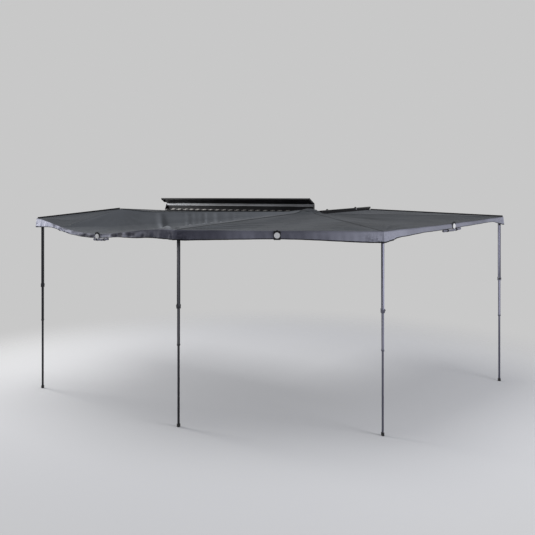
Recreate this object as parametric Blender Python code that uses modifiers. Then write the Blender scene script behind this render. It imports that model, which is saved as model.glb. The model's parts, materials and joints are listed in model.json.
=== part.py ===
"""A fan awning for the side of a vehicle: a long case, a lid, four arms on a chain of knuckles,
a folding extension, telescoping poles and a cloth canopy in gores.

Metres, +Z up, +X to the vehicle's rear, +Y towards the vehicle. The origin is on the flat back
of the case, level with the hub. The ground is GROUND below it.
"""

import math

import bmesh
import bpy
from mathutils import Matrix, Vector

# Case, in the plane across it (Y is depth, Z is height)
CASE_LONG = 2.350
CASE_FRONT_X = -CASE_LONG / 2
CASE_REAR_X = CASE_LONG / 2
WALL_DEPTH = 0.012
WALL_TOP = 0.124
SLOT_MOUTH = 0.008
SLOT_WIDTH = 0.014
SLOT_NECK = 0.003
SLOT_DEPTH = 0.007
SLOT_HEIGHTS = (-0.055, 0.060)
FLOOR_THICK = 0.003
FLOOR_LIP = 0.005
FLOOR_REACH = 0.128
LIP_CLEAR = 0.006
END_THICK = 0.003
TOUCH = 0.0003

# Lid and the cup that its barrel turns in
CUP_CLEAR = 0.0004
CUP_WALL = 0.0022
CUP_FROM = math.radians(40)
CUP_TO = math.radians(-135)
CUP_STEPS = 10
LID_HINGE_Y = -0.016
LID_HINGE_Z = 0.128
LID_PLATE = 0.112
LID_THICK = 0.003
LID_FLANGE = 0.016
LID_OPEN = math.radians(30)
LID_BARREL = 0.0042
LID_RIBS = (0.072, 0.090)
LID_RIB = 0.004

# Bright strip and cloth rail on the wall
STRIP_LOW = 0.086
STRIP_HIGH = 0.114
STRIP_THICK = 0.004
RAIL_Z = 0.030
RAIL_REACH = 0.046
RAIL_THICK = 0.004
RAIL_BEAD = 0.0048
RAIL_SHORT_OF_HUB = 0.120

# Hub, knuckles and arms
GROUND = 1.98
HUB_IN_FROM_END = 0.035
HUB_X = CASE_REAR_X - HUB_IN_FROM_END
HUB_Y = -0.068
BEAM_WIDE = 0.028
BEAM_HIGH = 0.034
BEAM_WALL = 0.002
BEAM_START = 0.036
LEVEL_TOP = 0.023
LEVEL_STEP = 0.038
HUB_PLATE_LONG = 0.055
KNUCKLE_R = 0.019
KNUCKLE_PLATE = 0.005
BOSS_R = 0.011
BOSS_HIGH = 0.0025
BOLT_R = 0.004
BOLT_HEAD_R = 0.0075
BOLT_HEAD = 0.005
BOLT_GAP = 0.0004
TONGUE = 0.060

# Each arm: opened angle from the case's forward line, fall towards the tip, pole's distance
ARM_OPEN = {1: 36.4, 2: 80.2, 3: 145.2, 4: 221.4}
ARM_FALL = {1: 0.0, 2: 3.1, 3: 2.25, 4: -1.15}
POLE_REACH = {2: 1.844, 3: 1.613, 4: 2.278}
TIP_PAST_POLE = 0.018
POLE_ON = {2: -1, 3: 1, 4: -1}

# Elbow and extension
ELBOW_REACH = 2.190
ELBOW_SIDE = 0.016
ELBOW_EYE_R = 0.011
ELBOW_EYE_HIGH = 0.012
EXT_FALL = 4.8
EXT_POLE_REACH = 0.860
EXT_ROOT = 0.014
PIN_CAP = 0.018
PIN_CAP_R = 0.0085

# Poles
POLE_DEEP = 0.028
POLE_WIDE = 0.018
POLE_WALL = 0.0015
POLE_FIT = 0.0003
POLE_SIDE = 0.027
OUTER_LONG = 0.720
MIDDLE_IN = 0.110
LOWER_SHOWS = 0.740
LOWER_IN = 0.100
POLE_TOP = 0.013
PIVOT_R = 0.004
PIVOT_HEAD_R = 0.007
FOOT_HIGH = 0.030
FOOT_WALL = 0.004
COLLAR_HIGH = 0.034
COLLAR_WALL = 0.0035
KNOB_R = 0.012
KNOB_LONG = 0.009
MIDDLE_COLLAR_HIGH = 0.016
MIDDLE_COLLAR_WALL = 0.0017

# Rear rail
REAR_RAIL_LONG = 1.35
REAR_RAIL_START = 0.050
REAR_RAIL_WIDE = 0.022
REAR_RAIL_HIGH = 0.024
REAR_RAIL_Z0 = 0.026
REAR_RAIL_Z1 = 0.058
STUD_AT = (0.212, 0.932)
STUD_R = 0.012
STUD_HIGH = 0.011

# Brackets that a rack's bars bolt to
BRACKETS_X = (-0.860, 0.110, 0.860)
BRACKET_WIDE = 0.050
BRACKET_UP = 0.150
BRACKET_OUT = 0.090
BRACKET_THICK = 0.005
BRACKET_SLOT = 0.009
BRACKET_SLOT_LONG = 0.040
BOLT_CAP_R = 0.0065
BOLT_CAP = 0.0055

# Cloth
CLOTH_THICK = 0.002
CLOTH_LIFT = 0.009
CLOTH_HUB_R = 0.075
CLOTH_HUB_Z = 0.049
SEAM = 0.0015
VALANCE = {
    "b": ((0.0, 0.098), (0.16, 0.042), (0.6, 0.042), (0.8, 0.078), (1.0, 0.098)),
    "c": ((0.0, 0.098), (0.5, 0.078), (1.0, 0.106)),
    "d": ((0.0, 0.106), (0.12, 0.070), (0.3, 0.054), (0.86, 0.040), (1.0, 0.094)),
}
VALANCE_SPLAY = 0.012
CORNER_TURN = 0.08
CLOTH_OVER_ELBOW = 0.038
CLOTH_DOWN_FROM_HUB = 0.150
CLOTH_SKIRT_Z = 0.026
CLOTH_UNDER_RAIL = 0.012
CLOTH_UP_TO_ELBOW = 0.350
TAB = 0.060
TAB_SHARE = {"b": 0.495, "c": 0.50, "d": 0.51}
TAB_BELOW = {"b": 0.022, "c": 0.037, "d": 0.022}
TAB_THICK = 0.003
BADGE_R = 0.025
TAB_OFF = 0.017
CORNER_PAST_POLE = 0.064
CORNER_SHARE = 0.22
EDGE_SAG = {"b": 0.114, "c": 0.003, "d": 0.008}
SAG_LEAN = 0.8
MID_SAG = {"a": 0.020, "b": 0.035, "c": 0.030, "d": 0.030, "e": 0.020}

COLLECTION = bpy.data.collections.new("vehicle_side_awning")
CUTTERS = bpy.data.collections.new("cutters")


def clear_scene():
    for old in list(bpy.data.objects):
        bpy.data.objects.remove(old, do_unlink=True)
    bpy.context.scene.collection.children.link(COLLECTION)
    bpy.context.scene.collection.children.link(CUTTERS)


def material(name, colour, roughness, metallic=0.0):
    found = bpy.data.materials.get(name)
    if found:
        return found
    made = bpy.data.materials.new(name)
    made.use_nodes = True
    shader = made.node_tree.nodes["Principled BSDF"]
    shader.inputs["Base Color"].default_value = (*colour, 1.0)
    shader.inputs["Roughness"].default_value = roughness
    shader.inputs["Metallic"].default_value = metallic
    return made


FINISHES = {
    "black_alloy": ((0.03, 0.03, 0.032), 0.45, 0.6),
    "bright_alloy": ((0.62, 0.64, 0.67), 0.3, 1.0),
    "arm_alloy": ((0.05, 0.05, 0.055), 0.4, 0.7),
    "pole_alloy": ((0.10, 0.10, 0.12), 0.4, 0.7),
    "cast_black": ((0.02, 0.02, 0.02), 0.55, 0.2),
    "plastic": ((0.02, 0.02, 0.02), 0.6, 0.0),
    "rubber": ((0.015, 0.015, 0.015), 0.9, 0.0),
    "cloth": ((0.085, 0.09, 0.095), 0.9, 0.0),
    "strap": ((0.02, 0.02, 0.022), 0.9, 0.0),
}


def new_object(name, mesh, collection=COLLECTION):
    made = bpy.data.objects.new(name, mesh)
    collection.objects.link(made)
    if collection is CUTTERS:
        made.hide_render = True
        made.display_type = "WIRE"
    return made


def finished(made, finish, parent=None, smooth=False):
    """Gives a piece its material and its pivot; its mesh is already in the pivot's coordinates."""
    made.data.materials.clear()
    made.data.materials.append(material(finish, *FINISHES[finish]))
    if smooth:
        made.data.shade_smooth()
        made.data.set_sharp_from_angle(angle=math.radians(40))
    if parent:
        made.parent = parent
    return made


def box(name, low, high, collection=CUTTERS, turn=None):
    """A box between two corners, turned about the origin if a matrix is given."""
    mesh = bpy.data.meshes.new(name)
    shape = bmesh.new()
    bmesh.ops.create_cube(shape, size=1.0)
    low, high = Vector(low), Vector(high)
    bmesh.ops.scale(shape, vec=high - low, verts=shape.verts)
    bmesh.ops.translate(shape, vec=(low + high) / 2, verts=shape.verts)
    if turn:
        bmesh.ops.transform(shape, matrix=turn, verts=shape.verts)
    shape.to_mesh(mesh)
    shape.free()
    return new_object(name, mesh, collection)


def rod(name, radius, start, end, segments=20, collection=CUTTERS):
    """A round bar between two points."""
    start, end = Vector(start), Vector(end)
    along = end - start
    mesh = bpy.data.meshes.new(name)
    shape = bmesh.new()
    bmesh.ops.create_cone(
        shape,
        cap_ends=True,
        segments=segments,
        radius1=radius,
        radius2=radius,
        depth=along.length,
    )
    turn = along.to_track_quat("Z", "Y").to_matrix().to_4x4()
    place = Matrix.Translation((start + end) / 2) @ turn
    bmesh.ops.transform(shape, matrix=place, verts=shape.verts)
    shape.to_mesh(mesh)
    shape.free()
    return new_object(name, mesh, collection)


def baked(source, name, collection=COLLECTION):
    """A plain mesh of an object as it is evaluated; the source goes."""
    bpy.context.view_layer.update()
    graph = bpy.context.evaluated_depsgraph_get()
    mesh = bpy.data.meshes.new_from_object(source.evaluated_get(graph))
    mesh.transform(source.matrix_world)
    shape = bmesh.new()
    shape.from_mesh(mesh)
    bmesh.ops.remove_doubles(shape, verts=shape.verts, dist=1e-6)
    shape.to_mesh(mesh)
    shape.free()
    bpy.data.objects.remove(source, do_unlink=True)
    made = new_object(name, mesh, collection)
    return made


def combined(name, base, others, operation):
    """Joins or cuts a piece with others by an exact Boolean."""
    for n, other in enumerate(others):
        step = base.modifiers.new(f"{operation.lower()}_{n}", "BOOLEAN")
        step.operation = operation
        step.solver = "EXACT"
        step.object = other
    made = baked(base, name)
    for other in others:
        bpy.data.objects.remove(other, do_unlink=True)
    return made


def union(name, base, *others):
    return combined(name, base, others, "UNION")


def cut(name, base, *others):
    return combined(name, base, others, "DIFFERENCE")


def section(name, outlines, start, end, collection=CUTTERS):
    """Extrudes closed outlines in the YZ plane from X start to X end. An inner outline is a hole."""
    curve = bpy.data.curves.new(name, "CURVE")
    curve.dimensions = "2D"
    curve.fill_mode = "BOTH"
    curve.extrude = abs(end - start) / 2
    for outline in outlines:
        line = curve.splines.new("POLY")
        line.points.add(len(outline) - 1)
        for point, (y, z) in zip(line.points, outline):
            point.co = (y, z, 0.0, 1.0)
        line.use_cyclic_u = True
    source = bpy.data.objects.new(name, curve)
    CUTTERS.objects.link(source)
    upright = Matrix(((0, 0, 1, 0), (1, 0, 0, 0), (0, 1, 0, 0), (0, 0, 0, 1)))
    source.matrix_world = Matrix.Translation(((start + end) / 2, 0, 0)) @ upright
    return baked(source, name, collection)


def rectangle(low, high):
    (y0, z0), (y1, z1) = low, high
    return [(y0, z0), (y1, z0), (y1, z1), (y0, z1)]


def circle(centre, radius, count=16):
    return [
        (
            centre[0] + radius * math.cos(2 * math.pi * n / count),
            centre[1] + radius * math.sin(2 * math.pi * n / count),
        )
        for n in range(count)
    ]


def pivot(name, matrix, parent=None):
    made = bpy.data.objects.new(name, None)
    made.empty_display_size = 0.05
    COLLECTION.objects.link(made)
    made.parent = parent
    made.matrix_local = matrix
    return made


HUB = Vector((HUB_X, HUB_Y, 0.0))


def turned(angle, axis):
    return Matrix.Rotation(angle, 4, axis)


def arm_frame(number):
    """The hub's frame on one arm: X along the arm, Y to its outboard side when it is folded."""
    open_angle = math.pi + math.radians(ARM_OPEN[number])
    fall = math.radians(ARM_FALL[number])
    return Matrix.Translation(HUB) @ turned(open_angle, "Z") @ turned(fall, "Y")


FOLDED = Matrix.Translation(HUB) @ turned(math.pi, "Z")


def knuckle_axis(number):
    """The pin that arm turns on, in the folded frame: tilted so that the arm falls as it opens."""
    before = FOLDED if number == 1 else arm_frame(number - 1)
    swing = (before.inverted() @ arm_frame(number)).to_quaternion()
    axis = swing.axis
    return axis if axis.z > 0 else -axis


def level_top(number):
    return LEVEL_TOP - LEVEL_STEP * (number - 1)


def level_low(number):
    return level_top(number) - BEAM_HIGH


def joint_height(number):
    """Height between one knuckle and the next one below it."""
    return level_top(number) + (LEVEL_STEP - BEAM_HIGH) / 2


FLOOR_TOP = level_low(4) - LIP_CLEAR - FLOOR_LIP
CASE_LOW = FLOOR_TOP - FLOOR_THICK


def slot_outline(height):
    half_mouth = SLOT_MOUTH / 2
    half_width = SLOT_WIDTH / 2
    return [
        (0.0, height - half_mouth),
        (-SLOT_NECK, height - half_mouth),
        (-SLOT_NECK, height - half_width),
        (-SLOT_DEPTH, height - half_width),
        (-SLOT_DEPTH, height + half_width),
        (-SLOT_NECK, height + half_width),
        (-SLOT_NECK, height + half_mouth),
        (0.0, height + half_mouth),
    ]


def make_case():
    inside_front = CASE_FRONT_X + END_THICK + TOUCH
    inside_rear = CASE_REAR_X - END_THICK - TOUCH
    wall = [(0.0, CASE_LOW)]
    for height in SLOT_HEIGHTS:
        wall += slot_outline(height)
    inner = LID_BARREL + CUP_CLEAR
    outer = inner + CUP_WALL
    wall.append((0.0, LID_HINGE_Z + inner * math.sin(CUP_FROM)))
    for n in range(CUP_STEPS + 1):
        angle = CUP_FROM + (CUP_TO - CUP_FROM) * n / CUP_STEPS
        wall.append(
            (LID_HINGE_Y + inner * math.cos(angle), LID_HINGE_Z + inner * math.sin(angle))
        )
    for angle in (CUP_TO, (CUP_TO + math.radians(-100)) / 2, math.radians(-100)):
        wall.append(
            (LID_HINGE_Y + outer * math.cos(angle), LID_HINGE_Z + outer * math.sin(angle))
        )
    wall += [(-WALL_DEPTH, STRIP_HIGH + 0.003), (-WALL_DEPTH, CASE_LOW)]
    finished(section("back_wall", [wall], inside_front, inside_rear, COLLECTION), "black_alloy")

    near = -WALL_DEPTH - TOUCH
    floor = [
        (near, CASE_LOW),
        (near, FLOOR_TOP + FLOOR_LIP),
        (near - FLOOR_THICK, FLOOR_TOP + FLOOR_LIP),
        (near - FLOOR_THICK, FLOOR_TOP),
        (-FLOOR_REACH + FLOOR_THICK, FLOOR_TOP),
        (-FLOOR_REACH + FLOOR_THICK, FLOOR_TOP + FLOOR_LIP),
        (-FLOOR_REACH, FLOOR_TOP + FLOOR_LIP),
        (-FLOOR_REACH, CASE_LOW),
    ]
    finished(section("floor_tray", [floor], inside_front, inside_rear, COLLECTION), "black_alloy")

    strip = rectangle((near - STRIP_THICK, STRIP_LOW), (near, STRIP_HIGH - TOUCH))
    groove = (STRIP_LOW + STRIP_HIGH) / 2
    strip = [
        strip[0],
        strip[1],
        strip[2],
        strip[3],
        (near - STRIP_THICK, groove + 0.002),
        (near - STRIP_THICK + 0.0015, groove),
        (near - STRIP_THICK, groove - 0.002),
    ]
    strip_rail = section("bright_strip", [strip], inside_front, inside_rear, COLLECTION)
    finished(strip_rail, "bright_alloy")

    cloth_rail = [
        (near, RAIL_Z - 0.012),
        (near, RAIL_Z + 0.010),
        (near - 0.003, RAIL_Z + 0.010),
        (near - 0.003, RAIL_Z + RAIL_THICK / 2),
    ]
    mouth = 0.0012
    bead_y = -RAIL_REACH + RAIL_BEAD
    neck = math.asin(RAIL_THICK / 2 / RAIL_BEAD)
    for turn in range(13):
        angle = neck + turn * (2 * math.pi - 2 * neck) / 12
        cloth_rail.append(
            (bead_y + RAIL_BEAD * math.cos(angle), RAIL_Z + RAIL_BEAD * math.sin(angle))
        )
    cloth_rail += [
        (near - 0.003, RAIL_Z - RAIL_THICK / 2),
        (near - 0.003, RAIL_Z - 0.012),
    ]
    rail_rear = HUB_X - RAIL_SHORT_OF_HUB
    rail = section("rail_body", [cloth_rail], inside_front, rail_rear)
    bore = section(
        "rail_bore",
        [circle((bead_y, RAIL_Z), RAIL_BEAD * 0.6, 10)],
        inside_front - 0.01,
        rail_rear + 0.01,
    )
    slot = box(
        "rail_mouth",
        (inside_front - 0.01, bead_y - mouth, RAIL_Z - RAIL_BEAD - 0.01),
        (rail_rear + 0.01, bead_y + mouth, RAIL_Z),
    )
    finished(cut("cloth_rail", rail, bore, slot), "bright_alloy")

    side = [
        (0.0, CASE_LOW),
        (-FLOOR_REACH, CASE_LOW),
        (-FLOOR_REACH, FLOOR_TOP + FLOOR_LIP),
        (-0.030, FLOOR_TOP + FLOOR_LIP),
        (-0.018, FLOOR_TOP + FLOOR_LIP + 0.014),
        (-0.018, RAIL_Z - 0.020),
        (-RAIL_REACH - 0.001, RAIL_Z - 0.006),
        (-RAIL_REACH - 0.001, RAIL_Z + 0.006),
        (-0.020, WALL_TOP - 0.022),
        (-0.012, WALL_TOP - 0.010),
        (0.0, WALL_TOP - 0.010),
    ]
    front = section(
        "case_end_front", [side], CASE_FRONT_X, CASE_FRONT_X + END_THICK, COLLECTION
    )
    finished(front, "plastic")
    rear = section("case_end_rear", [side], CASE_REAR_X - END_THICK, CASE_REAR_X)
    notch = box(
        "hub_notch",
        (CASE_REAR_X - 0.02, -FLOOR_REACH - 0.01, level_low(4) - 0.004),
        (CASE_REAR_X + 0.01, -WALL_DEPTH - 0.004, LEVEL_TOP + 0.02),
    )
    finished(cut("case_end_rear", rear, notch), "plastic")


def make_lid():
    hinge = pivot(
        "lid_pivot",
        Matrix.Translation((0, LID_HINGE_Y, LID_HINGE_Z)) @ turned(-LID_OPEN, "X"),
    )
    plate = []
    for rib in LID_RIBS:
        plate += [
            (-rib + LID_THICK / 2, -LID_THICK / 2),
            (-rib + LID_THICK / 2, -LID_THICK / 2 - LID_RIB),
            (-rib - LID_THICK / 2, -LID_THICK / 2 - LID_RIB),
            (-rib - LID_THICK / 2, -LID_THICK / 2),
        ]
    plate += [
        (-LID_PLATE + LID_THICK, -LID_THICK / 2),
        (-LID_PLATE + LID_THICK, -LID_FLANGE),
        (-LID_PLATE, -LID_FLANGE),
        (-LID_PLATE, 0.0),
        (-LID_PLATE + LID_THICK / 2, LID_THICK / 2),
    ]
    neck = math.asin(LID_THICK / 2 / LID_BARREL)
    for turn in range(13):
        angle = math.pi - neck - turn * (2 * math.pi - 2 * neck) / 12
        plate.append((LID_BARREL * math.cos(angle), LID_BARREL * math.sin(angle)))
    front = CASE_FRONT_X + END_THICK + TOUCH
    rear = CASE_REAR_X - END_THICK - TOUCH
    finished(section("lid_panel", [plate], front, rear, COLLECTION), "black_alloy", hinge)

    cheek = [
        (-LID_BARREL, -0.004),
        (-0.040, -0.022),
        (-LID_PLATE + 0.004, -LID_FLANGE - 0.001),
        (-LID_PLATE - 0.001, -LID_FLANGE - 0.001),
        (-LID_PLATE - 0.001, 0.001),
        (-LID_PLATE + 0.001, 0.0025),
        (-LID_BARREL, 0.0025),
    ]
    for name, start in (("lid_end_front", front - TOUCH), ("lid_end_rear", rear + TOUCH)):
        away = -END_THICK if start < rear else END_THICK
        body = section(name + "_plate", [cheek], min(start, start + away), max(start, start + away))
        ribs = []
        for n in range(4):
            y = -0.020 - n * 0.024
            lean = turned(math.radians(-35), "X")
            place = Matrix.Translation((start + away * 1.3, y, -0.008)) @ lean
            ribs.append(
                box(
                    f"{name}_rib_{n}",
                    (-END_THICK * 0.45, -0.0015, -0.006),
                    (END_THICK * 0.45, 0.0015, 0.006),
                    turn=place,
                )
            )
        finished(union(name, body, *ribs), "plastic", hinge)


def knuckle(number, parent, axis_above, axis_below):
    """A C-shaped knuckle: a top plate, a web and a bottom plate, with the tongue of its arm."""
    top = level_top(number) - 0.0006
    low = level_low(number) + 0.0006
    body = rod("knuckle_eye", KNUCKLE_R, (0, 0, low), (0, 0, top), 24)
    web = box(
        "knuckle_web",
        (0.0, -BEAM_WIDE / 2 + 0.001, low),
        (BEAM_START - TOUCH, BEAM_WIDE / 2 - 0.001, top),
    )
    gap = BEAM_WIDE / 2 - BEAM_WALL - 0.0003
    tongue = box(
        "knuckle_tongue",
        (BEAM_START - 0.010, -gap, low + BEAM_WALL + 0.0012),
        (BEAM_START + TONGUE, gap, top - BEAM_WALL - 0.0012),
    )
    parts = [web, tongue]
    up = axis_above.normalized()
    down = axis_below.normalized() if axis_below else None
    above = joint_height(number)
    below = joint_height(number + 1)
    if axis_above:
        centre = up * (above / up.z)
        reach = (above - TOUCH / 2 - top + 0.002) / up.z
        shift = up * (TOUCH / 2)
        parts.append(rod("boss_up", BOSS_R, centre - shift - up * reach, centre - shift))
    if down:
        centre = down * (below / down.z)
        shift = down * (TOUCH / 2)
        reach = (low - below - TOUCH / 2 + 0.002) / down.z
        parts.append(rod("boss_down", BOSS_R, centre + shift, centre + shift + down * reach))
    body = union("knuckle_solid", body, *parts)
    window = box(
        "knuckle_window",
        (-KNUCKLE_R - 0.01, -KNUCKLE_R - 0.01, low + KNUCKLE_PLATE),
        (KNUCKLE_R * 0.62, KNUCKLE_R + 0.01, top - KNUCKLE_PLATE),
    )
    body = cut("knuckle_open", body, window)
    bore = rod(
        "knuckle_bore",
        BOLT_R + BOLT_GAP,
        up * ((top - KNUCKLE_PLATE - 0.004) / up.z),
        up * ((top + 0.010) / up.z),
    )
    body = cut(f"knuckle_{number}", body, bore)
    if down:
        stem_top = down * ((low + KNUCKLE_PLATE * 0.5) / down.z)
        stem_low = down * ((level_top(number + 1) - KNUCKLE_PLATE - 0.0066) / down.z)
        stem = rod("pin_stem", BOLT_R, stem_low, stem_top)
        nut_top = down * ((level_top(number + 1) - KNUCKLE_PLATE - 0.0024) / down.z)
        nut = rod("pin_nut", BOLT_HEAD_R, stem_low, nut_top, 6)
        body = union(f"knuckle_{number}", body, stem, nut)
    return finished(body, "cast_black", parent)


def lifted(point, height):
    return Vector((point.x, point.y, height))


def make_hub_bracket():
    """A plate that reaches out from the wall over the top knuckle, on two gussets."""
    low = level_top(1) + (LEVEL_STEP - BEAM_HIGH) / 2 + TOUCH / 2
    plate_low = low + 0.0012
    plate_top = plate_low + 0.006
    back = -WALL_DEPTH - TOUCH
    left = HUB_X - HUB_PLATE_LONG
    right = HUB_X + 0.012
    hub = Vector((HUB_X, HUB_Y, 0.0))
    plate = box("hub_plate", (left, HUB_Y, plate_low), (right, back - 0.001, plate_top))
    nose = rod("hub_nose", KNUCKLE_R, lifted(hub, plate_low), lifted(hub, plate_top), 24)
    boss = rod("hub_boss", BOSS_R, lifted(hub, low), lifted(hub, plate_low + 0.001))
    upstand = box(
        "hub_upstand",
        (left - 0.004, back - 0.006, -0.060),
        (right + 0.001, back, plate_top + 0.008),
    )
    gussets = []
    for n, x in enumerate((left + 0.001, left + 0.024)):
        rib = section(
            f"hub_gusset_{n}",
            [
                [
                    (back - 0.001, plate_low - 0.050),
                    (-0.040, plate_low + 0.001),
                    (back - 0.001, plate_low + 0.001),
                ]
            ],
            x,
            x + 0.004,
        )
        gussets.append(rib)
    body = union("hub_bracket_solid", plate, nose, upstand, boss, *gussets)
    stem_low = level_top(1) - KNUCKLE_PLATE - 0.0066
    stem = rod("hub_stem", BOLT_R, lifted(hub, stem_low), lifted(hub, plate_top - 0.001))
    nut_top = level_top(1) - KNUCKLE_PLATE - 0.0024
    nut = rod("hub_nut", BOLT_HEAD_R, lifted(hub, stem_low), lifted(hub, nut_top), 6)
    head_top = plate_top + 0.004
    head = rod("hub_head", BOLT_HEAD_R, lifted(hub, plate_top - 0.001), lifted(hub, head_top), 6)
    finished(union("hub_bracket", body, stem, nut, head), "cast_black")


def beam(name, start, end, parent, centre_y=0.0, top=0.0):
    """A rectangular tube with a cloth groove along its top."""
    low = top - BEAM_HIGH
    half = BEAM_WIDE / 2
    outside = [
        (centre_y - half, low + 0.002),
        (centre_y - half + 0.002, low),
        (centre_y + half - 0.002, low),
        (centre_y + half, low + 0.002),
        (centre_y + half, top - 0.002),
        (centre_y + half - 0.002, top),
        (centre_y + 0.004, top),
        (centre_y + 0.002, top - 0.0012),
        (centre_y - 0.002, top - 0.0012),
        (centre_y - 0.004, top),
        (centre_y - half + 0.002, top),
        (centre_y - half, top - 0.002),
    ]
    inside = rectangle(
        (centre_y - half + BEAM_WALL, low + BEAM_WALL),
        (centre_y + half - BEAM_WALL, top - BEAM_WALL - 0.0006),
    )
    made = section(name, [outside, inside], start, end, COLLECTION)
    return finished(made, "arm_alloy", parent)


def tip_bracket(name, parent, end, pole_at, middle, hand):
    """The plug in an arm's end, with the stud that carries the pole's head at its side."""
    gap = BEAM_WIDE / 2 - BEAM_WALL - 0.0003
    high = BEAM_HIGH / 2 - BEAM_WALL - 0.0012
    plug = box(name + "_plug", (end - 0.050, -gap, middle - high), (end + 0.004, gap, middle + high))
    cap = box(
        name + "_cap",
        (end + TOUCH, -BEAM_WIDE / 2, middle - BEAM_HIGH / 2),
        (end + 0.005, BEAM_WIDE / 2, middle + BEAM_HIGH / 2),
    )
    face = BEAM_WIDE / 2 + TOUCH
    near_y, far_y = sorted((hand * face, hand * (face + 0.0024)))
    cheek = box(
        name + "_cheek",
        (pole_at - 0.014, near_y, middle - 0.014),
        (end + 0.005, far_y, middle + 0.014),
    )
    near_y, far_y = sorted((hand * (BEAM_WIDE / 2 - 0.001), hand * (face + 0.001)))
    nib = box(
        name + "_nib",
        (end + TOUCH + 0.0004, near_y, middle - 0.014),
        (end + 0.005, far_y, middle + 0.014),
    )
    far_side = POLE_SIDE + POLE_WIDE / 2
    stud = rod(
        name + "_stud",
        PIVOT_R,
        (pole_at, hand * (face + 0.001), middle),
        (pole_at, hand * (far_side + 0.003), middle),
    )
    head = rod(
        name + "_head",
        PIVOT_HEAD_R,
        (pole_at, hand * (far_side + 0.0006), middle),
        (pole_at, hand * (far_side + 0.0036), middle),
    )
    return finished(union(name, plug, cap, cheek, nib, stud, head), "cast_black", parent)


def make_arm(number):
    frame = arm_frame(number)
    axis = knuckle_axis(number)
    below = knuckle_axis(number + 1) if number < 4 else None
    parent = pivot(f"arm_{number}_pivot", frame)
    knuckle(number, parent, axis, below)
    reach = ELBOW_REACH if number == 1 else POLE_REACH[number] + TIP_PAST_POLE
    end = reach - (0.024 if number == 1 else 0.0)
    beam(f"arm_{number}_beam", BEAM_START, end, parent, 0.0, level_top(number))
    if number > 1:
        middle = level_top(number) - BEAM_HIGH / 2
        hand = POLE_ON[number]
        tip_bracket(f"arm_{number}_tip", parent, end, POLE_REACH[number], middle, hand)
        at = Vector((POLE_REACH[number], hand * POLE_SIDE, middle))
        upright = turned(-math.radians(ARM_FALL[number]), "Y")
        hang = pivot(f"pole_{number}_pivot", Matrix.Translation(at) @ upright, parent)
        make_pole(number, hang, GROUND + (frame @ at).z, hand)
    return parent


def elbow_axis():
    """The elbow's pin, in arm 1's frame: leaned by half the extension's fall."""
    lean = math.radians(EXT_FALL) / 2
    return Vector((math.sin(lean), 0.0, math.cos(lean)))


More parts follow.
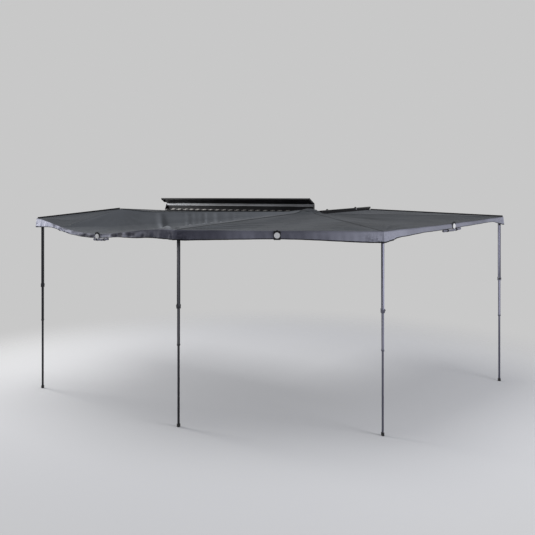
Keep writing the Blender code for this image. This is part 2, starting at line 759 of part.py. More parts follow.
def make_elbow(arm):
    """The arm's eye and the extension's fork, round a pin at the side of both beams."""
    middle = level_top(1) - BEAM_HIGH / 2
    half = BEAM_WIDE / 2
    axis = elbow_axis()
    end = ELBOW_REACH - 0.024
    gap = half - BEAM_WALL - 0.0003
    high = BEAM_HIGH / 2 - BEAM_WALL - 0.0012
    centre = Vector((ELBOW_REACH, ELBOW_SIDE, middle))
    plug = box("elbow_plug", (end - 0.050, -gap, middle - high), (end + 0.004, gap, middle + high))
    block = box(
        "elbow_block",
        (end + TOUCH, -half, middle - BEAM_HIGH / 2 + 0.0006),
        (ELBOW_REACH - ELBOW_EYE_R - 0.0012, half - 0.0012, middle + BEAM_HIGH / 2 - 0.0006),
    )
    eye_half = ELBOW_EYE_HIGH / 2
    neck = box(
        "elbow_neck",
        (ELBOW_REACH - ELBOW_EYE_R - 0.004, half - 0.016, middle - eye_half),
        (ELBOW_REACH, ELBOW_SIDE, middle + eye_half),
    )
    eye = rod("elbow_eye", ELBOW_EYE_R - 0.001, centre - axis * eye_half, centre + axis * eye_half)
    body = union("elbow_solid", plug, block, neck, eye)
    bore = rod("elbow_bore", BOLT_R + BOLT_GAP, centre - axis * 0.03, centre + axis * 0.03)
    finished(cut("elbow_eye", body, bore), "cast_black", arm)

    fall = math.radians(EXT_FALL)
    place = Matrix.Translation(centre) @ turned(fall, "Y")
    ext = pivot("extension_pivot", place, arm)
    local_axis = place.to_3x3().inverted() @ axis
    side = -ELBOW_SIDE
    root = EXT_ROOT
    plug = box(
        "fork_plug", (root + 0.004, side - gap, -high), (root + 0.060, side + gap, high)
    )
    block = box(
        "fork_block",
        (ELBOW_EYE_R + 0.0012, side - half, -BEAM_HIGH / 2 + 0.0006),
        (root + 0.008, side + half - 0.0012, BEAM_HIGH / 2 - 0.0006),
    )
    leaf = (BEAM_HIGH - ELBOW_EYE_HIGH) / 2 - 0.0035
    leaves = []
    for sign in (1, -1):
        inner = ELBOW_EYE_HIGH / 2 + 0.0012
        start = local_axis * (sign * inner)
        finish = local_axis * (sign * (inner + leaf))
        leaves.append(rod(f"fork_leaf_{sign}", ELBOW_EYE_R - 0.001, start, finish))
        low, high_z = sorted((sign * (inner + 0.0012), sign * (inner + leaf - 0.0008)))
        leaves.append(
            box(
                f"fork_arm_{sign}",
                (0.0, side + half - 0.016, low),
                (ELBOW_EYE_R + 0.004, 0.0, high_z),
            )
        )
    pin_half = ELBOW_EYE_HIGH / 2 + 0.0012 + leaf + 0.002
    pin = rod("elbow_pin", BOLT_R, -local_axis * pin_half, local_axis * pin_half)
    cap_top = BEAM_HIGH / 2 + PIN_CAP
    cap = rod("elbow_cap", PIN_CAP_R, local_axis * (pin_half - 0.004), local_axis * cap_top)
    fork = union("extension_fork", plug, block, *leaves, pin, cap)
    finished(fork, "cast_black", ext)
    end = EXT_POLE_REACH + TIP_PAST_POLE
    beam("extension_beam", root + 0.008 + TOUCH, end, ext, side, BEAM_HIGH / 2)
    under = -BEAM_HIGH / 2
    hang_z = under - 0.004 - POLE_DEEP / 2
    plug = box(
        "ext_tip_plug",
        (end - 0.050, side - gap, -high),
        (end + 0.004, side + gap, high),
    )
    cap = box(
        "ext_tip_cap",
        (end + TOUCH, side - half, under - 0.003),
        (end + 0.005, side + half, BEAM_HIGH / 2),
    )
    saddle = box(
        "ext_tip_saddle",
        (EXT_POLE_REACH - 0.016, side - half, under - 0.0035),
        (end + 0.005, side + half, under - TOUCH),
    )
    cheeks = []
    for sign in (1, -1):
        inner = side + sign * (POLE_WIDE / 2 + 0.0006)
        outer = inner + sign * 0.003
        low_y, high_y = sorted((inner, outer))
        cheeks.append(
            box(
                f"ext_tip_cheek_{sign}",
                (EXT_POLE_REACH - 0.014, low_y, hang_z - 0.008),
                (EXT_POLE_REACH + 0.014, high_y, under - 0.002),
            )
        )
    stud = rod(
        "ext_tip_pin",
        PIVOT_R,
        (EXT_POLE_REACH, side - POLE_WIDE / 2 - 0.005, hang_z),
        (EXT_POLE_REACH, side + POLE_WIDE / 2 + 0.005, hang_z),
    )
    tip = union("extension_tip", plug, cap, saddle, *cheeks, stud)
    finished(tip, "cast_black", ext)
    at = Matrix.Translation((EXT_POLE_REACH, side, hang_z)) @ turned(-fall, "Y")
    hang = pivot("pole_1_pivot", at, ext)
    world = arm_frame(1) @ place @ Vector((EXT_POLE_REACH, side, hang_z))
    make_pole(1, hang, GROUND + world.z, -1)


def tube(name, deep, wide, wall, low, high):
    """A rectangular tube standing between two heights."""
    outside = box(name + "_out", (-deep / 2, -wide / 2, low), (deep / 2, wide / 2, high))
    inside = box(
        name + "_in",
        (-deep / 2 + wall, -wide / 2 + wall, low - 0.01),
        (deep / 2 - wall, wide / 2 - wall, high + 0.01),
    )
    return cut(name, outside, inside)


def collar(name, deep, wide, wall, low, high, fit):
    ring = box(
        name + "_out",
        (-deep / 2 - wall, -wide / 2 - wall, low),
        (deep / 2 + wall, wide / 2 + wall, high),
    )
    hole = box(
        name + "_in",
        (-deep / 2 - fit, -wide / 2 - fit, low - 0.01),
        (deep / 2 + fit, wide / 2 + fit, high + 0.01),
    )
    return ring, hole


def make_pole(number, parent, length, knob_side):
    """Three tubes that slide in each other, on a pivot at the top, with a clamp and a foot."""
    name = f"pole_{number}"
    middle_deep = POLE_DEEP - 2 * (POLE_WALL + POLE_FIT)
    middle_wide = POLE_WIDE - 2 * (POLE_WALL + POLE_FIT)
    lower_deep = middle_deep - 2 * (POLE_WALL + POLE_FIT)
    lower_wide = middle_wide - 2 * (POLE_WALL + POLE_FIT)
    outer_low = -OUTER_LONG
    middle_low = -length + FOOT_HIGH + LOWER_SHOWS
    lower_low = -length + FOOT_WALL

    shell = tube(name + "_shell", POLE_DEEP, POLE_WIDE, POLE_WALL, outer_low, 0.0)
    plug = box(
        name + "_plug",
        (-POLE_DEEP / 2 + 0.0008, -POLE_WIDE / 2 + 0.0008, -0.030),
        (POLE_DEEP / 2 - 0.0008, POLE_WIDE / 2 - 0.0008, 0.0),
    )
    eye = rod(
        name + "_eye", POLE_TOP, (0, -POLE_WIDE / 2 + 0.0008, 0), (0, POLE_WIDE / 2 - 0.0008, 0), 24
    )
    ring, hole = collar(
        name + "_collar",
        POLE_DEEP,
        POLE_WIDE,
        COLLAR_WALL,
        outer_low - 0.006,
        outer_low + COLLAR_HIGH,
        -POLE_WALL,
    )
    ring = cut(name + "_ring", ring, hole)
    body = union(name + "_body", shell, plug, eye, ring)
    bore = rod(name + "_bore", PIVOT_R + BOLT_GAP, (0, -0.05, 0), (0, 0.05, 0))
    knob_at = outer_low + COLLAR_HIGH / 2
    wall_y = knob_side * (POLE_WIDE / 2 - POLE_WALL - 0.001)
    face_y = knob_side * (POLE_WIDE / 2 + COLLAR_WALL)
    seat = rod(name + "_seat", 0.0035, (0, wall_y, knob_at), (0, face_y * 1.5, knob_at), 12)
    finished(cut(f"{name}_outer", body, bore, seat), "pole_alloy", parent)

    stem = rod(
        name + "_screw",
        0.0031,
        (0, knob_side * (POLE_WIDE / 2 - POLE_WALL + 0.0004), knob_at),
        (0, face_y + knob_side * 0.002, knob_at),
        12,
    )
    grip = rod(
        name + "_grip",
        KNOB_R,
        (0, face_y + knob_side * 0.0006, knob_at),
        (0, face_y + knob_side * KNOB_LONG, knob_at),
        24,
    )
    near_y, far_y = sorted((face_y + knob_side * 0.003, face_y + knob_side * KNOB_LONG))
    wing = box(
        name + "_wing",
        (-KNOB_R - 0.004, near_y, knob_at - 0.003),
        (KNOB_R + 0.004, far_y, knob_at + 0.003),
    )
    knob = union(f"{name}_knob", grip, stem, wing)
    knob.data.transform(Matrix.Translation((0, 0, -knob_at)))
    turn = pivot(f"{name}_knob_pivot", Matrix.Translation((0, 0, knob_at)), parent)
    finished(knob, "plastic", turn)

    middle = tube(
        name + "_mid", middle_deep, middle_wide, POLE_WALL, middle_low, outer_low + MIDDLE_IN
    )
    ring, hole = collar(
        name + "_mid_collar",
        middle_deep,
        middle_wide,
        MIDDLE_COLLAR_WALL,
        middle_low,
        middle_low + MIDDLE_COLLAR_HIGH,
        -POLE_WALL,
    )
    ring = cut(name + "_mid_ring", ring, hole)
    finished(union(f"{name}_middle", middle, ring), "pole_alloy", parent)

    lower = tube(
        f"{name}_lower", lower_deep, lower_wide, POLE_WALL, lower_low, middle_low + LOWER_IN
    )
    finished(lower, "pole_alloy", parent)

    pad = box(
        name + "_pad",
        (-lower_deep / 2 - FOOT_WALL, -lower_wide / 2 - FOOT_WALL, -length),
        (lower_deep / 2 + FOOT_WALL, lower_wide / 2 + FOOT_WALL, -length + FOOT_HIGH),
    )
    socket = box(
        name + "_socket",
        (-lower_deep / 2 - TOUCH, -lower_wide / 2 - TOUCH, -length + FOOT_WALL - TOUCH),
        (lower_deep / 2 + TOUCH, lower_wide / 2 + TOUCH, 0.0),
    )
    finished(cut(f"{name}_foot", pad, socket), "rubber", parent)


def make_rear_rail():
    """The bar that holds the last gore's edge, on a foot at the case and two bright studs."""
    fall = math.atan2(REAR_RAIL_Z1 - REAR_RAIL_Z0, REAR_RAIL_LONG)
    lift = turned(fall, "X")
    at = Matrix.Translation((CASE_REAR_X + 0.016, REAR_RAIL_START, REAR_RAIL_Z0)) @ lift
    bar = box(
        "rear_bar",
        (-REAR_RAIL_WIDE / 2, 0.0, -REAR_RAIL_HIGH / 2),
        (REAR_RAIL_WIDE / 2, REAR_RAIL_LONG, REAR_RAIL_HIGH / 2),
        turn=at,
    )
    groove = box(
        "rear_groove",
        (-0.0015, -0.01, -REAR_RAIL_HIGH / 2 - 0.01),
        (0.0015, REAR_RAIL_LONG + 0.01, -REAR_RAIL_HIGH / 2 + 0.006),
        turn=at,
    )
    rail = cut("rear_rail_bar", bar, groove)
    for n, distance in enumerate(STUD_AT):
        centre = at @ Vector((0, distance, REAR_RAIL_HIGH / 2 + TOUCH))
        top = at @ Vector((0, distance, REAR_RAIL_HIGH / 2 + STUD_HIGH))
        stud = rod(f"rear_rail_stud_{n + 1}", STUD_R, centre, top, 20, COLLECTION)
        finished(stud, "bright_alloy", smooth=True)
    inner = CASE_REAR_X + 0.016
    tongue = box(
        "rear_tongue",
        (inner - REAR_RAIL_WIDE / 2 + 0.002, TOUCH, REAR_RAIL_Z0 - 0.010),
        (inner + REAR_RAIL_WIDE / 2 - 0.002, REAR_RAIL_START + 0.004, REAR_RAIL_Z0 + 0.010),
    )
    strap = box(
        "rear_strap",
        (CASE_REAR_X - 0.060, TOUCH, REAR_RAIL_Z0 - 0.018),
        (inner + REAR_RAIL_WIDE / 2 - 0.002, 0.005, REAR_RAIL_Z0 + 0.018),
    )
    finished(union("rear_rail", rail, tongue, strap), "black_alloy")


def make_brackets():
    """Angle brackets: the upright leg in the wall's slots, the flat leg on a rack's bar."""
    low = min(SLOT_HEIGHTS) - 0.015
    for n, x in enumerate(BRACKETS_X):
        left, right = x - BRACKET_WIDE / 2, x + BRACKET_WIDE / 2
        upright = box(
            f"bracket_up_{n}", (left, TOUCH, low), (right, BRACKET_THICK, low + BRACKET_UP)
        )
        flat = box(f"bracket_flat_{n}", (left, TOUCH, low), (right, BRACKET_OUT, low + BRACKET_THICK))
        slot = box(
            f"bracket_slot_{n}",
            (x - BRACKET_SLOT / 2, BRACKET_OUT - 0.016 - BRACKET_SLOT_LONG, low - 0.01),
            (x + BRACKET_SLOT / 2, BRACKET_OUT - 0.016, low + 0.02),
        )
        body = union(f"bracket_{n}_solid", upright, flat)
        body = cut(f"bracket_{n}_slotted", body, slot)
        bolts = []
        for height in SLOT_HEIGHTS:
            bolts.append(
                rod(
                    f"bolt_head_{n}",
                    BOLT_CAP_R,
                    (x, BRACKET_THICK - 0.001, height),
                    (x, BRACKET_THICK + BOLT_CAP, height),
                    6,
                )
            )
            bolts.append(
                rod(
                    f"bolt_stem_{n}",
                    SLOT_MOUTH / 2 - 0.0006,
                    (x, -SLOT_NECK - 0.002, height),
                    (x, BRACKET_THICK, height),
                    12,
                )
            )
            bolts.append(
                box(
                    f"bolt_nut_{n}",
                    (x - 0.0065, -SLOT_DEPTH + 0.0006, height - SLOT_WIDTH / 2 + 0.0006),
                    (x + 0.0065, -SLOT_NECK - 0.0004, height + SLOT_WIDTH / 2 - 0.0006),
                )
            )
        finished(union(f"rack_bracket_{n + 1}", body, *bolts), "black_alloy")


def along_arm(number, distance, lift):
    """A point over an arm's beam, lift above its top."""
    return arm_frame(number) @ Vector((distance, 0.0, level_top(number) + lift))


def corner(number):
    if number == 1:
        place = Matrix.Translation(
            (ELBOW_REACH, ELBOW_SIDE, level_top(1) - BEAM_HIGH / 2)
        ) @ turned(math.radians(EXT_FALL), "Y")
        far = Vector((EXT_POLE_REACH + CORNER_PAST_POLE, -ELBOW_SIDE, BEAM_HIGH / 2 + CLOTH_LIFT))
        return arm_frame(1) @ place @ far
    return along_arm(number, POLE_REACH[number] + CORNER_PAST_POLE, CLOTH_LIFT)


def hub_point(angle_deg, height):
    angle = math.pi + math.radians(angle_deg)
    return HUB + Vector(
        (CLOTH_HUB_R * math.cos(angle), CLOTH_HUB_R * math.sin(angle), height)
    )


def sheet(name, point, across, along, valance=None, parent=None, bare=0):
    """A thin closed sheet over a grid of points; a valance hangs from its far edge.

    The first `bare` columns have no valance.
    """
    shape = bmesh.new()
    rows = []
    for j in range(along + 1):
        rows.append([shape.verts.new(point(i / across, j / along)) for i in range(across + 1)])
    if valance:
        for step in (1, 2):
            drop = step / 2
            row = [None] * bare
            for i in range(bare, across + 1):
                row.append(shape.verts.new(valance(i / across, drop)))
            rows.append(row)
    for j in range(len(rows) - 1):
        for i in range(bare if j >= along else 0, across):
            quad = (rows[j][i], rows[j][i + 1], rows[j + 1][i + 1], rows[j + 1][i])
            shape.faces.new(quad)
    bmesh.ops.recalc_face_normals(shape, faces=shape.faces)
    up = sum((face.normal.z for face in shape.faces))
    if up < 0:
        bmesh.ops.reverse_faces(shape, faces=shape.faces)
    mesh = bpy.data.meshes.new(name)
    shape.to_mesh(mesh)
    shape.free()
    made = new_object(name, mesh)
    thick = made.modifiers.new("thickness", "SOLIDIFY")
    thick.thickness = CLOTH_THICK
    thick.offset = 1.0
    thick.use_even_offset = True
    made = baked(made, name)
    if parent:
        made.data.transform(parent.matrix_world.inverted())
    return finished(made, "cloth", parent, True)


def mixed(a, b, share):
    return a * (1 - share) + b * share


def stepped(rows, share):
    """The value at a share of the way through rows of (share, value)."""
    for (s0, v0), (s1, v1) in zip(rows, rows[1:]):
        if share <= s1:
            way = (share - s0) / (s1 - s0)
            way = way * way * (3 - 2 * way)
            return v0 + (v1 - v0) * way
    return rows[-1][1]


def edge_sag(letter, share):
    """How far an outer edge hangs below the chord between its two corners."""
    if letter == "b":
        return EDGE_SAG[letter] * math.sin(math.pi * share**SAG_LEAN) ** 2
    return EDGE_SAG[letter] * math.sin(math.pi * share)


def hang(edge_point, share, drop, high, fold_count, fold_deep, ways):
    """A point on a valance: it hangs from the edge, with soft upright folds.

    It leans along its middle's direction, and at each end along that end's own.
    """
    start, middle, end = ways
    from_start = min(1.0, share / CORNER_TURN)
    from_end = min(1.0, (1 - share) / CORNER_TURN)
    lean = mixed(start, mixed(end, middle, from_end), from_start).normalized()
    wave = math.sin(share * fold_count * 2 * math.pi) * fold_deep * drop
    return edge_point + lean * (VALANCE_SPLAY * drop + wave) - Vector((0, 0, high * drop))


def gore(name, left, right, letter, across, along, fold_count, parent, flap=None):
    """A gore between two edge lines from the hub outwards, with a sagging outer edge.

    A flap is a line that the left edge hangs from, by one more column of cloth.
    """

    def edge(share):
        place = mixed(left(1.0), right(1.0), share)
        sag = edge_sag(letter, share) if fold_count else 0.0
        return place - Vector((0, 0, sag))

    def point(share, out):
        flat = mixed(left(out), right(out), share)
        lean = edge(share) - mixed(left(1.0), right(1.0), share)
        belly = MID_SAG[letter] * math.sin(math.pi * share) ** 1.5 * math.sin(math.pi * out)
        crease = 0.024 * math.sin(6 * math.pi * share) * math.sin(math.pi * share)
        crease *= out * (1 - out)
        return flat + lean * out**2 - Vector((0, 0, belly + crease))

    valance = None
    if fold_count:
        ways = (
            level_way(left(0.0), left(1.0)),
            outward_of(left(1.0), right(1.0)),
            level_way(right(0.0), right(1.0)),
        )

        def valance(share, drop):
            high = stepped(VALANCE[letter], share)
            return hang(edge(share), share, drop, high, fold_count, 0.006, ways)

    if not flap:
        return sheet(name, point, across, along, valance, parent)

    def flapped(share, out):
        column = share * (across + 1)
        return flap(out) if column < 0.5 else point((column - 1) / across, out)

    return sheet(name, flapped, across + 1, along, valance, parent)


def line(start, end, left_gap=0.0):
    """A straight edge line, moved aside by a seam's half gap."""
    chord = end - start
    aside = Vector((chord.y, -chord.x, 0)).normalized() * left_gap

    def at(out):
        return mixed(start, end, out) + aside

    return at


def arm_line(number, start, end, left_gap):
    """The cloth's line over an arm: down off the hub's crown, then straight out to its end.

    Over arm 1 it lies along the beam instead, and rises over the elbow.
    """
    straight = line(start, end, left_gap)
    length = (end - start).length
    foot = level_top(1) + CLOTH_LIFT if number == 1 else CLOTH_SKIRT_Z

    def at(out):
        place = straight(out)
        crown = max(0.0, 1 - out * length / CLOTH_DOWN_FROM_HUB)
        rise = out
        if number == 1:
            rise = max(0.0, 1 - (1 - out) * length / CLOTH_UP_TO_ELBOW)
        place.z = foot + (end.z - foot) * rise + (start.z - foot) * crown
        return place

    return at


def make_canopy(arms):
    mouth = Vector((0.0, -RAIL_REACH + RAIL_BEAD, RAIL_Z - RAIL_BEAD - 0.003))
    rail_near = mouth + Vector((HUB_X - RAIL_SHORT_OF_HUB, 0.0, 0.0))
    rail_far = mouth + Vector((CASE_FRONT_X + 0.03, 0.0, 0.0))
    under_rail = Vector((0.0, -0.010, -CLOTH_UNDER_RAIL))
    elbow = along_arm(1, ELBOW_REACH - 0.030, CLOTH_OVER_ELBOW)
    hub = {n: hub_point(ARM_OPEN[n], CLOTH_HUB_Z) for n in (1, 2, 3, 4)}
    corners = {n: corner(n) for n in (1, 2, 3, 4)}
    q_share = CORNER_SHARE
    seam_q = mixed(corners[1], corners[2], q_share)
    seam_q.z -= edge_sag("b", q_share)

    gore(
        "canopy_front_gore",
        line(rail_near + under_rail, rail_far + under_rail),
        arm_line(1, hub[1], elbow, SEAM),
        "a", 9, 16, 0, arms[1], line(rail_near, rail_far),
    )

    def b_edge(share):
        if share < 0.35:
            place = mixed(elbow, seam_q, share / 0.35)
        else:
            place = mixed(seam_q, corners[2], (share - 0.35) / 0.65)
        chord_share = q_share + (1 - q_share) * (share - 0.35) / 0.65
        if share >= 0.35:
            straight = mixed(corners[1], corners[2], chord_share)
            place = straight - Vector((0, 0, edge_sag("b", chord_share)))
        return place

    bend_rows = {
        "left": arm_line(1, hub[1], elbow, -SEAM),
        "right": arm_line(2, hub[2], corners[2], SEAM),
    }
    make_side_gore(
        "canopy_side_gore_front",
        bend_rows,
        b_edge,
        20, 16, arms[2], 0.35, "b",
        (corners[1], corners[2]),
    )
    make_corner_piece(elbow, corners, seam_q, arms[1])
    gore(
        "canopy_side_gore_rear",
        arm_line(2, hub[2], corners[2], -SEAM),
        arm_line(3, hub[3], corners[3], SEAM),
        "c", 18, 11, 9, arms[3],
    )
    gore(
        "canopy_corner_gore",
        arm_line(3, hub[3], corners[3], -SEAM),
        arm_line(4, hub[4], corners[4], SEAM),
        "d", 18, 11, 10, arms[4],
    )
    rail_x = CASE_REAR_X + 0.016
    gore(
        "canopy_rear_gore",
        arm_line(4, hub[4], corners[4], -SEAM),
        line(
            Vector((rail_x + 0.040, REAR_RAIL_START + 0.01, REAR_RAIL_Z0 - 0.016)),
            Vector((rail_x, REAR_RAIL_START + REAR_RAIL_LONG, REAR_RAIL_Z1 - 0.020)),
        ),
        "e", 10, 11, 0, arms[4],
    )
    for n, (first, letter) in enumerate(((1, "b"), (2, "c"), (3, "d"))):
        start, end = corners[first], corners[first + 1]
        outward = outward_of(start, end)
        drop = edge_sag(letter, TAB_SHARE[letter]) + TAB_BELOW[letter]
        middle = mixed(start, end, TAB_SHARE[letter]) - Vector((0, 0, drop))
        off = outward * (VALANCE_SPLAY * 0.5 + TAB_OFF)
        make_tab(f"strap_tab_{n + 1}", middle + off, outward, arms[first + 1])


def level_way(start, end):
    way = end - start
    way.z = 0
    return way.normalized()


def outward_of(start, end):
    """The level direction off a chord, away from the hub."""
    chord = end - start
    aside = Vector((chord.y, -chord.x, 0)).normalized()
    return aside if aside.dot(mixed(start, end, 0.5) - HUB) > 0 else -aside


def make_side_gore(name, lines, edge, across, along, parent, bare, letter, chord):
    """The gore beside the extension: its outer edge turns where the corner piece meets it."""

    def point(share, out):
        flat = mixed(lines["left"](out), lines["right"](out), share)
        lean = edge(share) - mixed(lines["left"](1.0), lines["right"](1.0), share)
        belly = MID_SAG[letter] * math.sin(math.pi * share) ** 1.5 * math.sin(math.pi * out)
        return flat + lean * out**1.5 - Vector((0, 0, belly))

    outward = outward_of(*chord)
    ways = (outward, outward, level_way(lines["right"](0.0), lines["right"](1.0)))

    def valance(share, drop):
        fold_share = (share - bare) / (1 - bare)
        high = stepped(VALANCE[letter], CORNER_SHARE + (1 - CORNER_SHARE) * fold_share)
        return hang(edge(share), fold_share, drop, high, 7, 0.006, ways)

    return sheet(name, point, across, along, valance, parent, round(bare * across))


def make_corner_piece(elbow, corners, seam_q, parent):
    """The three-sided piece of cloth over the extension, with its own length of valance."""
    place = Matrix.Translation(
        (ELBOW_REACH, ELBOW_SIDE, level_top(1) - BEAM_HIGH / 2)
    ) @ turned(math.radians(EXT_FALL), "Y")
    over = BEAM_HIGH / 2 + CLOTH_OVER_ELBOW
    root = arm_frame(1) @ place @ Vector((0.0, -ELBOW_SIDE, over))
    tip = corners[1]
    gap = tip - elbow
    gap.z = 0
    gap = gap.normalized() * 2 * SEAM

    def edge(share):
        chord_share = CORNER_SHARE * share
        down = Vector((0, 0, edge_sag("b", chord_share)))
        return mixed(tip, corners[2], chord_share) + gap * share - down

    def point(share, out):
        flat = mixed(mixed(root, tip, out), mixed(elbow + gap, seam_q + gap, out), share)
        lean = edge(share) - mixed(tip, seam_q + gap, share)
        return flat + lean * out**2

    outward = outward_of(tip, corners[2])
    ways = (level_way(root, tip), outward, outward)

    def valance(share, drop):
        high = stepped(VALANCE["b"], CORNER_SHARE * share)
        return hang(edge(share), share, drop, high, 3, 0.006, ways)

    sheet("canopy_corner_piece", point, 8, 8, valance, parent)


def make_tab(name, centre, outward, parent):
    """A square tab with a plain round badge, sewn on a valance, with the strap's folded end."""
    facing = outward.to_track_quat("Z", "Y").to_matrix().to_4x4()
    place = Matrix.Translation(centre) @ facing
    half = TAB / 2
    plate = box(name + "_plate", (-half, -half, 0.0), (half, half, TAB_THICK), turn=place)
    end = box(
        name + "_end",
        (-TAB * 0.18, half * 0.5, 0.0005),
        (TAB * 0.18, half * 1.45, TAB_THICK * 0.8),
        turn=place,
    )
    badge = rod(
        name + "_badge", BADGE_R, place @ Vector((0, 0, TAB_THICK * 0.5)),
        place @ Vector((0, 0, TAB_THICK * 1.6)), 24,
    )
    made = union(name, plate, end, badge)
    made.data.transform(parent.matrix_world.inverted())
    finished(made, "strap", parent)


def main():
    clear_scene()
    make_case()
    make_lid()
    make_hub_bracket()
    arms = {number: make_arm(number) for number in (1, 2, 3, 4)}
    make_elbow(arms[1])
    make_rear_rail()
    make_brackets()
    bpy.context.view_layer.update()
    make_canopy(arms)


main()
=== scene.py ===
# %% [markdown]
# # A fan awning, dressed for the camera
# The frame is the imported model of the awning: its case, lid, hub, arms, poles and rigid cloth.
# This lesson keeps every place that the frame gives, and adds what makes it look real: cloth that
# is pulled tight and wrinkles at its corners, sewn seams, straps, rounded edges and finishes.

import json
import math

import bmesh
import bpy
from mathutils import Matrix, Vector, noise
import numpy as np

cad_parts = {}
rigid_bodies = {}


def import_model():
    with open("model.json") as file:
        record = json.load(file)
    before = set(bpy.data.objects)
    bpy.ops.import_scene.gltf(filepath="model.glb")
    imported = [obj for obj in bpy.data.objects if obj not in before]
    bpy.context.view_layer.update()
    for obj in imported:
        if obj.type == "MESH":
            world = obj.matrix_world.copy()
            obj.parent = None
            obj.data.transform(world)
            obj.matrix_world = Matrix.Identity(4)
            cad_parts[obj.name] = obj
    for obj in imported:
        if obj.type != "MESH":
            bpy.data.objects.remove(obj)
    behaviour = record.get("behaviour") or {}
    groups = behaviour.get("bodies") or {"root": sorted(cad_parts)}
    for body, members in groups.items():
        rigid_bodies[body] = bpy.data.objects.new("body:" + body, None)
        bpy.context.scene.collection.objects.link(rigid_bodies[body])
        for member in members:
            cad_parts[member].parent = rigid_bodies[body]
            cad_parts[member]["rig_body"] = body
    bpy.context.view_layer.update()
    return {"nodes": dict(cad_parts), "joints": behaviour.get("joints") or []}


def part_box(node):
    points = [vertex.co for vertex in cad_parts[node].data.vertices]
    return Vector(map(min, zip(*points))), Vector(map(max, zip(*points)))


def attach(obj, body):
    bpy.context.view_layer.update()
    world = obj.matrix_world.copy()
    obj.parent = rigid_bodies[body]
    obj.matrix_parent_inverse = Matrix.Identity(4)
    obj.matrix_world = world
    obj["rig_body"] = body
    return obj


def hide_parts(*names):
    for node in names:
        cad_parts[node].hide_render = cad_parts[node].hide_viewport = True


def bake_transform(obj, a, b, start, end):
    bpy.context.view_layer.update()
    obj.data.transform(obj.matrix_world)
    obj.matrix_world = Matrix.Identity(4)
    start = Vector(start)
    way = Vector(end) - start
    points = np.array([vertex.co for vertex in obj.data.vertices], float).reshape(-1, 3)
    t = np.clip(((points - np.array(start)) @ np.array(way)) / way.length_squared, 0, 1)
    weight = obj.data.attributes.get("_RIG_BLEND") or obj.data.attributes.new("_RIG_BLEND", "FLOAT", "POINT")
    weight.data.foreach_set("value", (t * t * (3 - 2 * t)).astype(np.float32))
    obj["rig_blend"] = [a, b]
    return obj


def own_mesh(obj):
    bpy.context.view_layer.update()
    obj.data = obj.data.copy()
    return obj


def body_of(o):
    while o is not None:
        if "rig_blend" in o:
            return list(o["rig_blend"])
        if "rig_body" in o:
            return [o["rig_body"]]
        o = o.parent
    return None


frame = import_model()
scene = bpy.context.scene
joints = {joint["name"]: joint for joint in frame["joints"]}

# %% [markdown]
# ## Where the camera stands
# The four poles are vertical in the photograph, so the camera is level and its lens is shifted
# down a little. Its place was found from the tops and the feet of the poles.

# %% Camera
def placed(name, data):
    """A new object in the scene."""
    made = bpy.data.objects.new(name, data)
    scene.collection.objects.link(made)
    return made


camera_data = bpy.data.cameras.new("photo_camera")
camera_data.lens = 42.5
camera_data.sensor_width = 36.0
camera_data.shift_y = -0.132
camera = placed("photo_camera", camera_data)
camera.location = (4.947, -6.280, 0.200)
camera.rotation_euler = Vector((-0.5773, 0.8165, 0.0)).to_track_quat("-Z", "Y").to_euler()
scene.camera = camera
print("camera", [round(v, 3) for v in camera.location])

# %% [markdown]
# ## Nodes, meshes and plain finishes
# A node tree is a list of nodes and the wires between them. Three short helpers keep such a list
# readable: one makes a node with its settings, one draws the wires, and one starts a finish. A
# fourth turns a shape that was built point by point into a mesh.

# %% Helpers for trees and meshes


def node_of(tree, kind, inputs=None, **settings):
    """A node with its settings, then the constants on its inputs."""
    node = tree.nodes.new(kind)
    for name, value in settings.items():
        setattr(node, name, value)
    for socket, value in (inputs or {}).items():
        node.inputs[socket].default_value = value
    return node


def wire(tree, *pairs):
    """Joins each output to the input that it is paired with."""
    for source, target in pairs:
        tree.links.new(source, target)


def finish(name, colour, roughness, metallic=0.0):
    """A finish, its tree and its shader."""
    made = bpy.data.materials.new(name)
    made.use_nodes = True
    shader = made.node_tree.nodes["Principled BSDF"]
    shader.inputs["Base Color"].default_value = (*colour, 1.0)
    shader.inputs["Roughness"].default_value = roughness
    shader.inputs["Metallic"].default_value = metallic
    return made, made.node_tree, shader


def mesh_of(name, shape, *materials):
    """A mesh from a finished bmesh."""
    mesh = bpy.data.meshes.new(name)
    shape.to_mesh(mesh)
    shape.free()
    for material in materials:
        mesh.materials.append(material)
    return mesh


# %% [markdown]
# ## Floor and light
# The floor takes the soft shadows of the poles and fades into the backdrop a few metres out, so
# that no horizon shows. The backdrop is a colour of the world that only the camera and the glossy
# rays see: the lamps and the world light the object at a plain level of their own.

# %% Floor, world and lamps
GROUND = -1.98
BACKDROP = (0.578, 0.578, 0.578, 1.0)
SKY_COLOUR = (0.90, 0.92, 1.0, 1.0)
SKY_STRENGTH = 0.52
FLOOR_GREY = (0.60, 0.60, 0.60)
FLOOR_RADIUS = 6.0
FLOOR_MIDDLE = (0.6, -0.4, GROUND)
FLOOR_FADES = {"From Min": 2.6, "From Max": 5.2}
# each lamp's place, target, power, size and colour
LAMPS = {
    "left_light": ((-6.5, -2.6, 1.5), (-1.2, -1.8, -0.4), 330.0, 1.8, (1.0, 0.99, 0.97)),
    "right_light": ((8.0, -0.6, 1.6), (2.6, -0.4, -0.4), 200.0, 2.4, (0.95, 0.96, 1.0)),
    "top_light": ((0.4, -0.8, 6.0), (0.4, -0.8, 0.0), 190.0, 4.0, (1.0, 1.0, 1.0)),
}


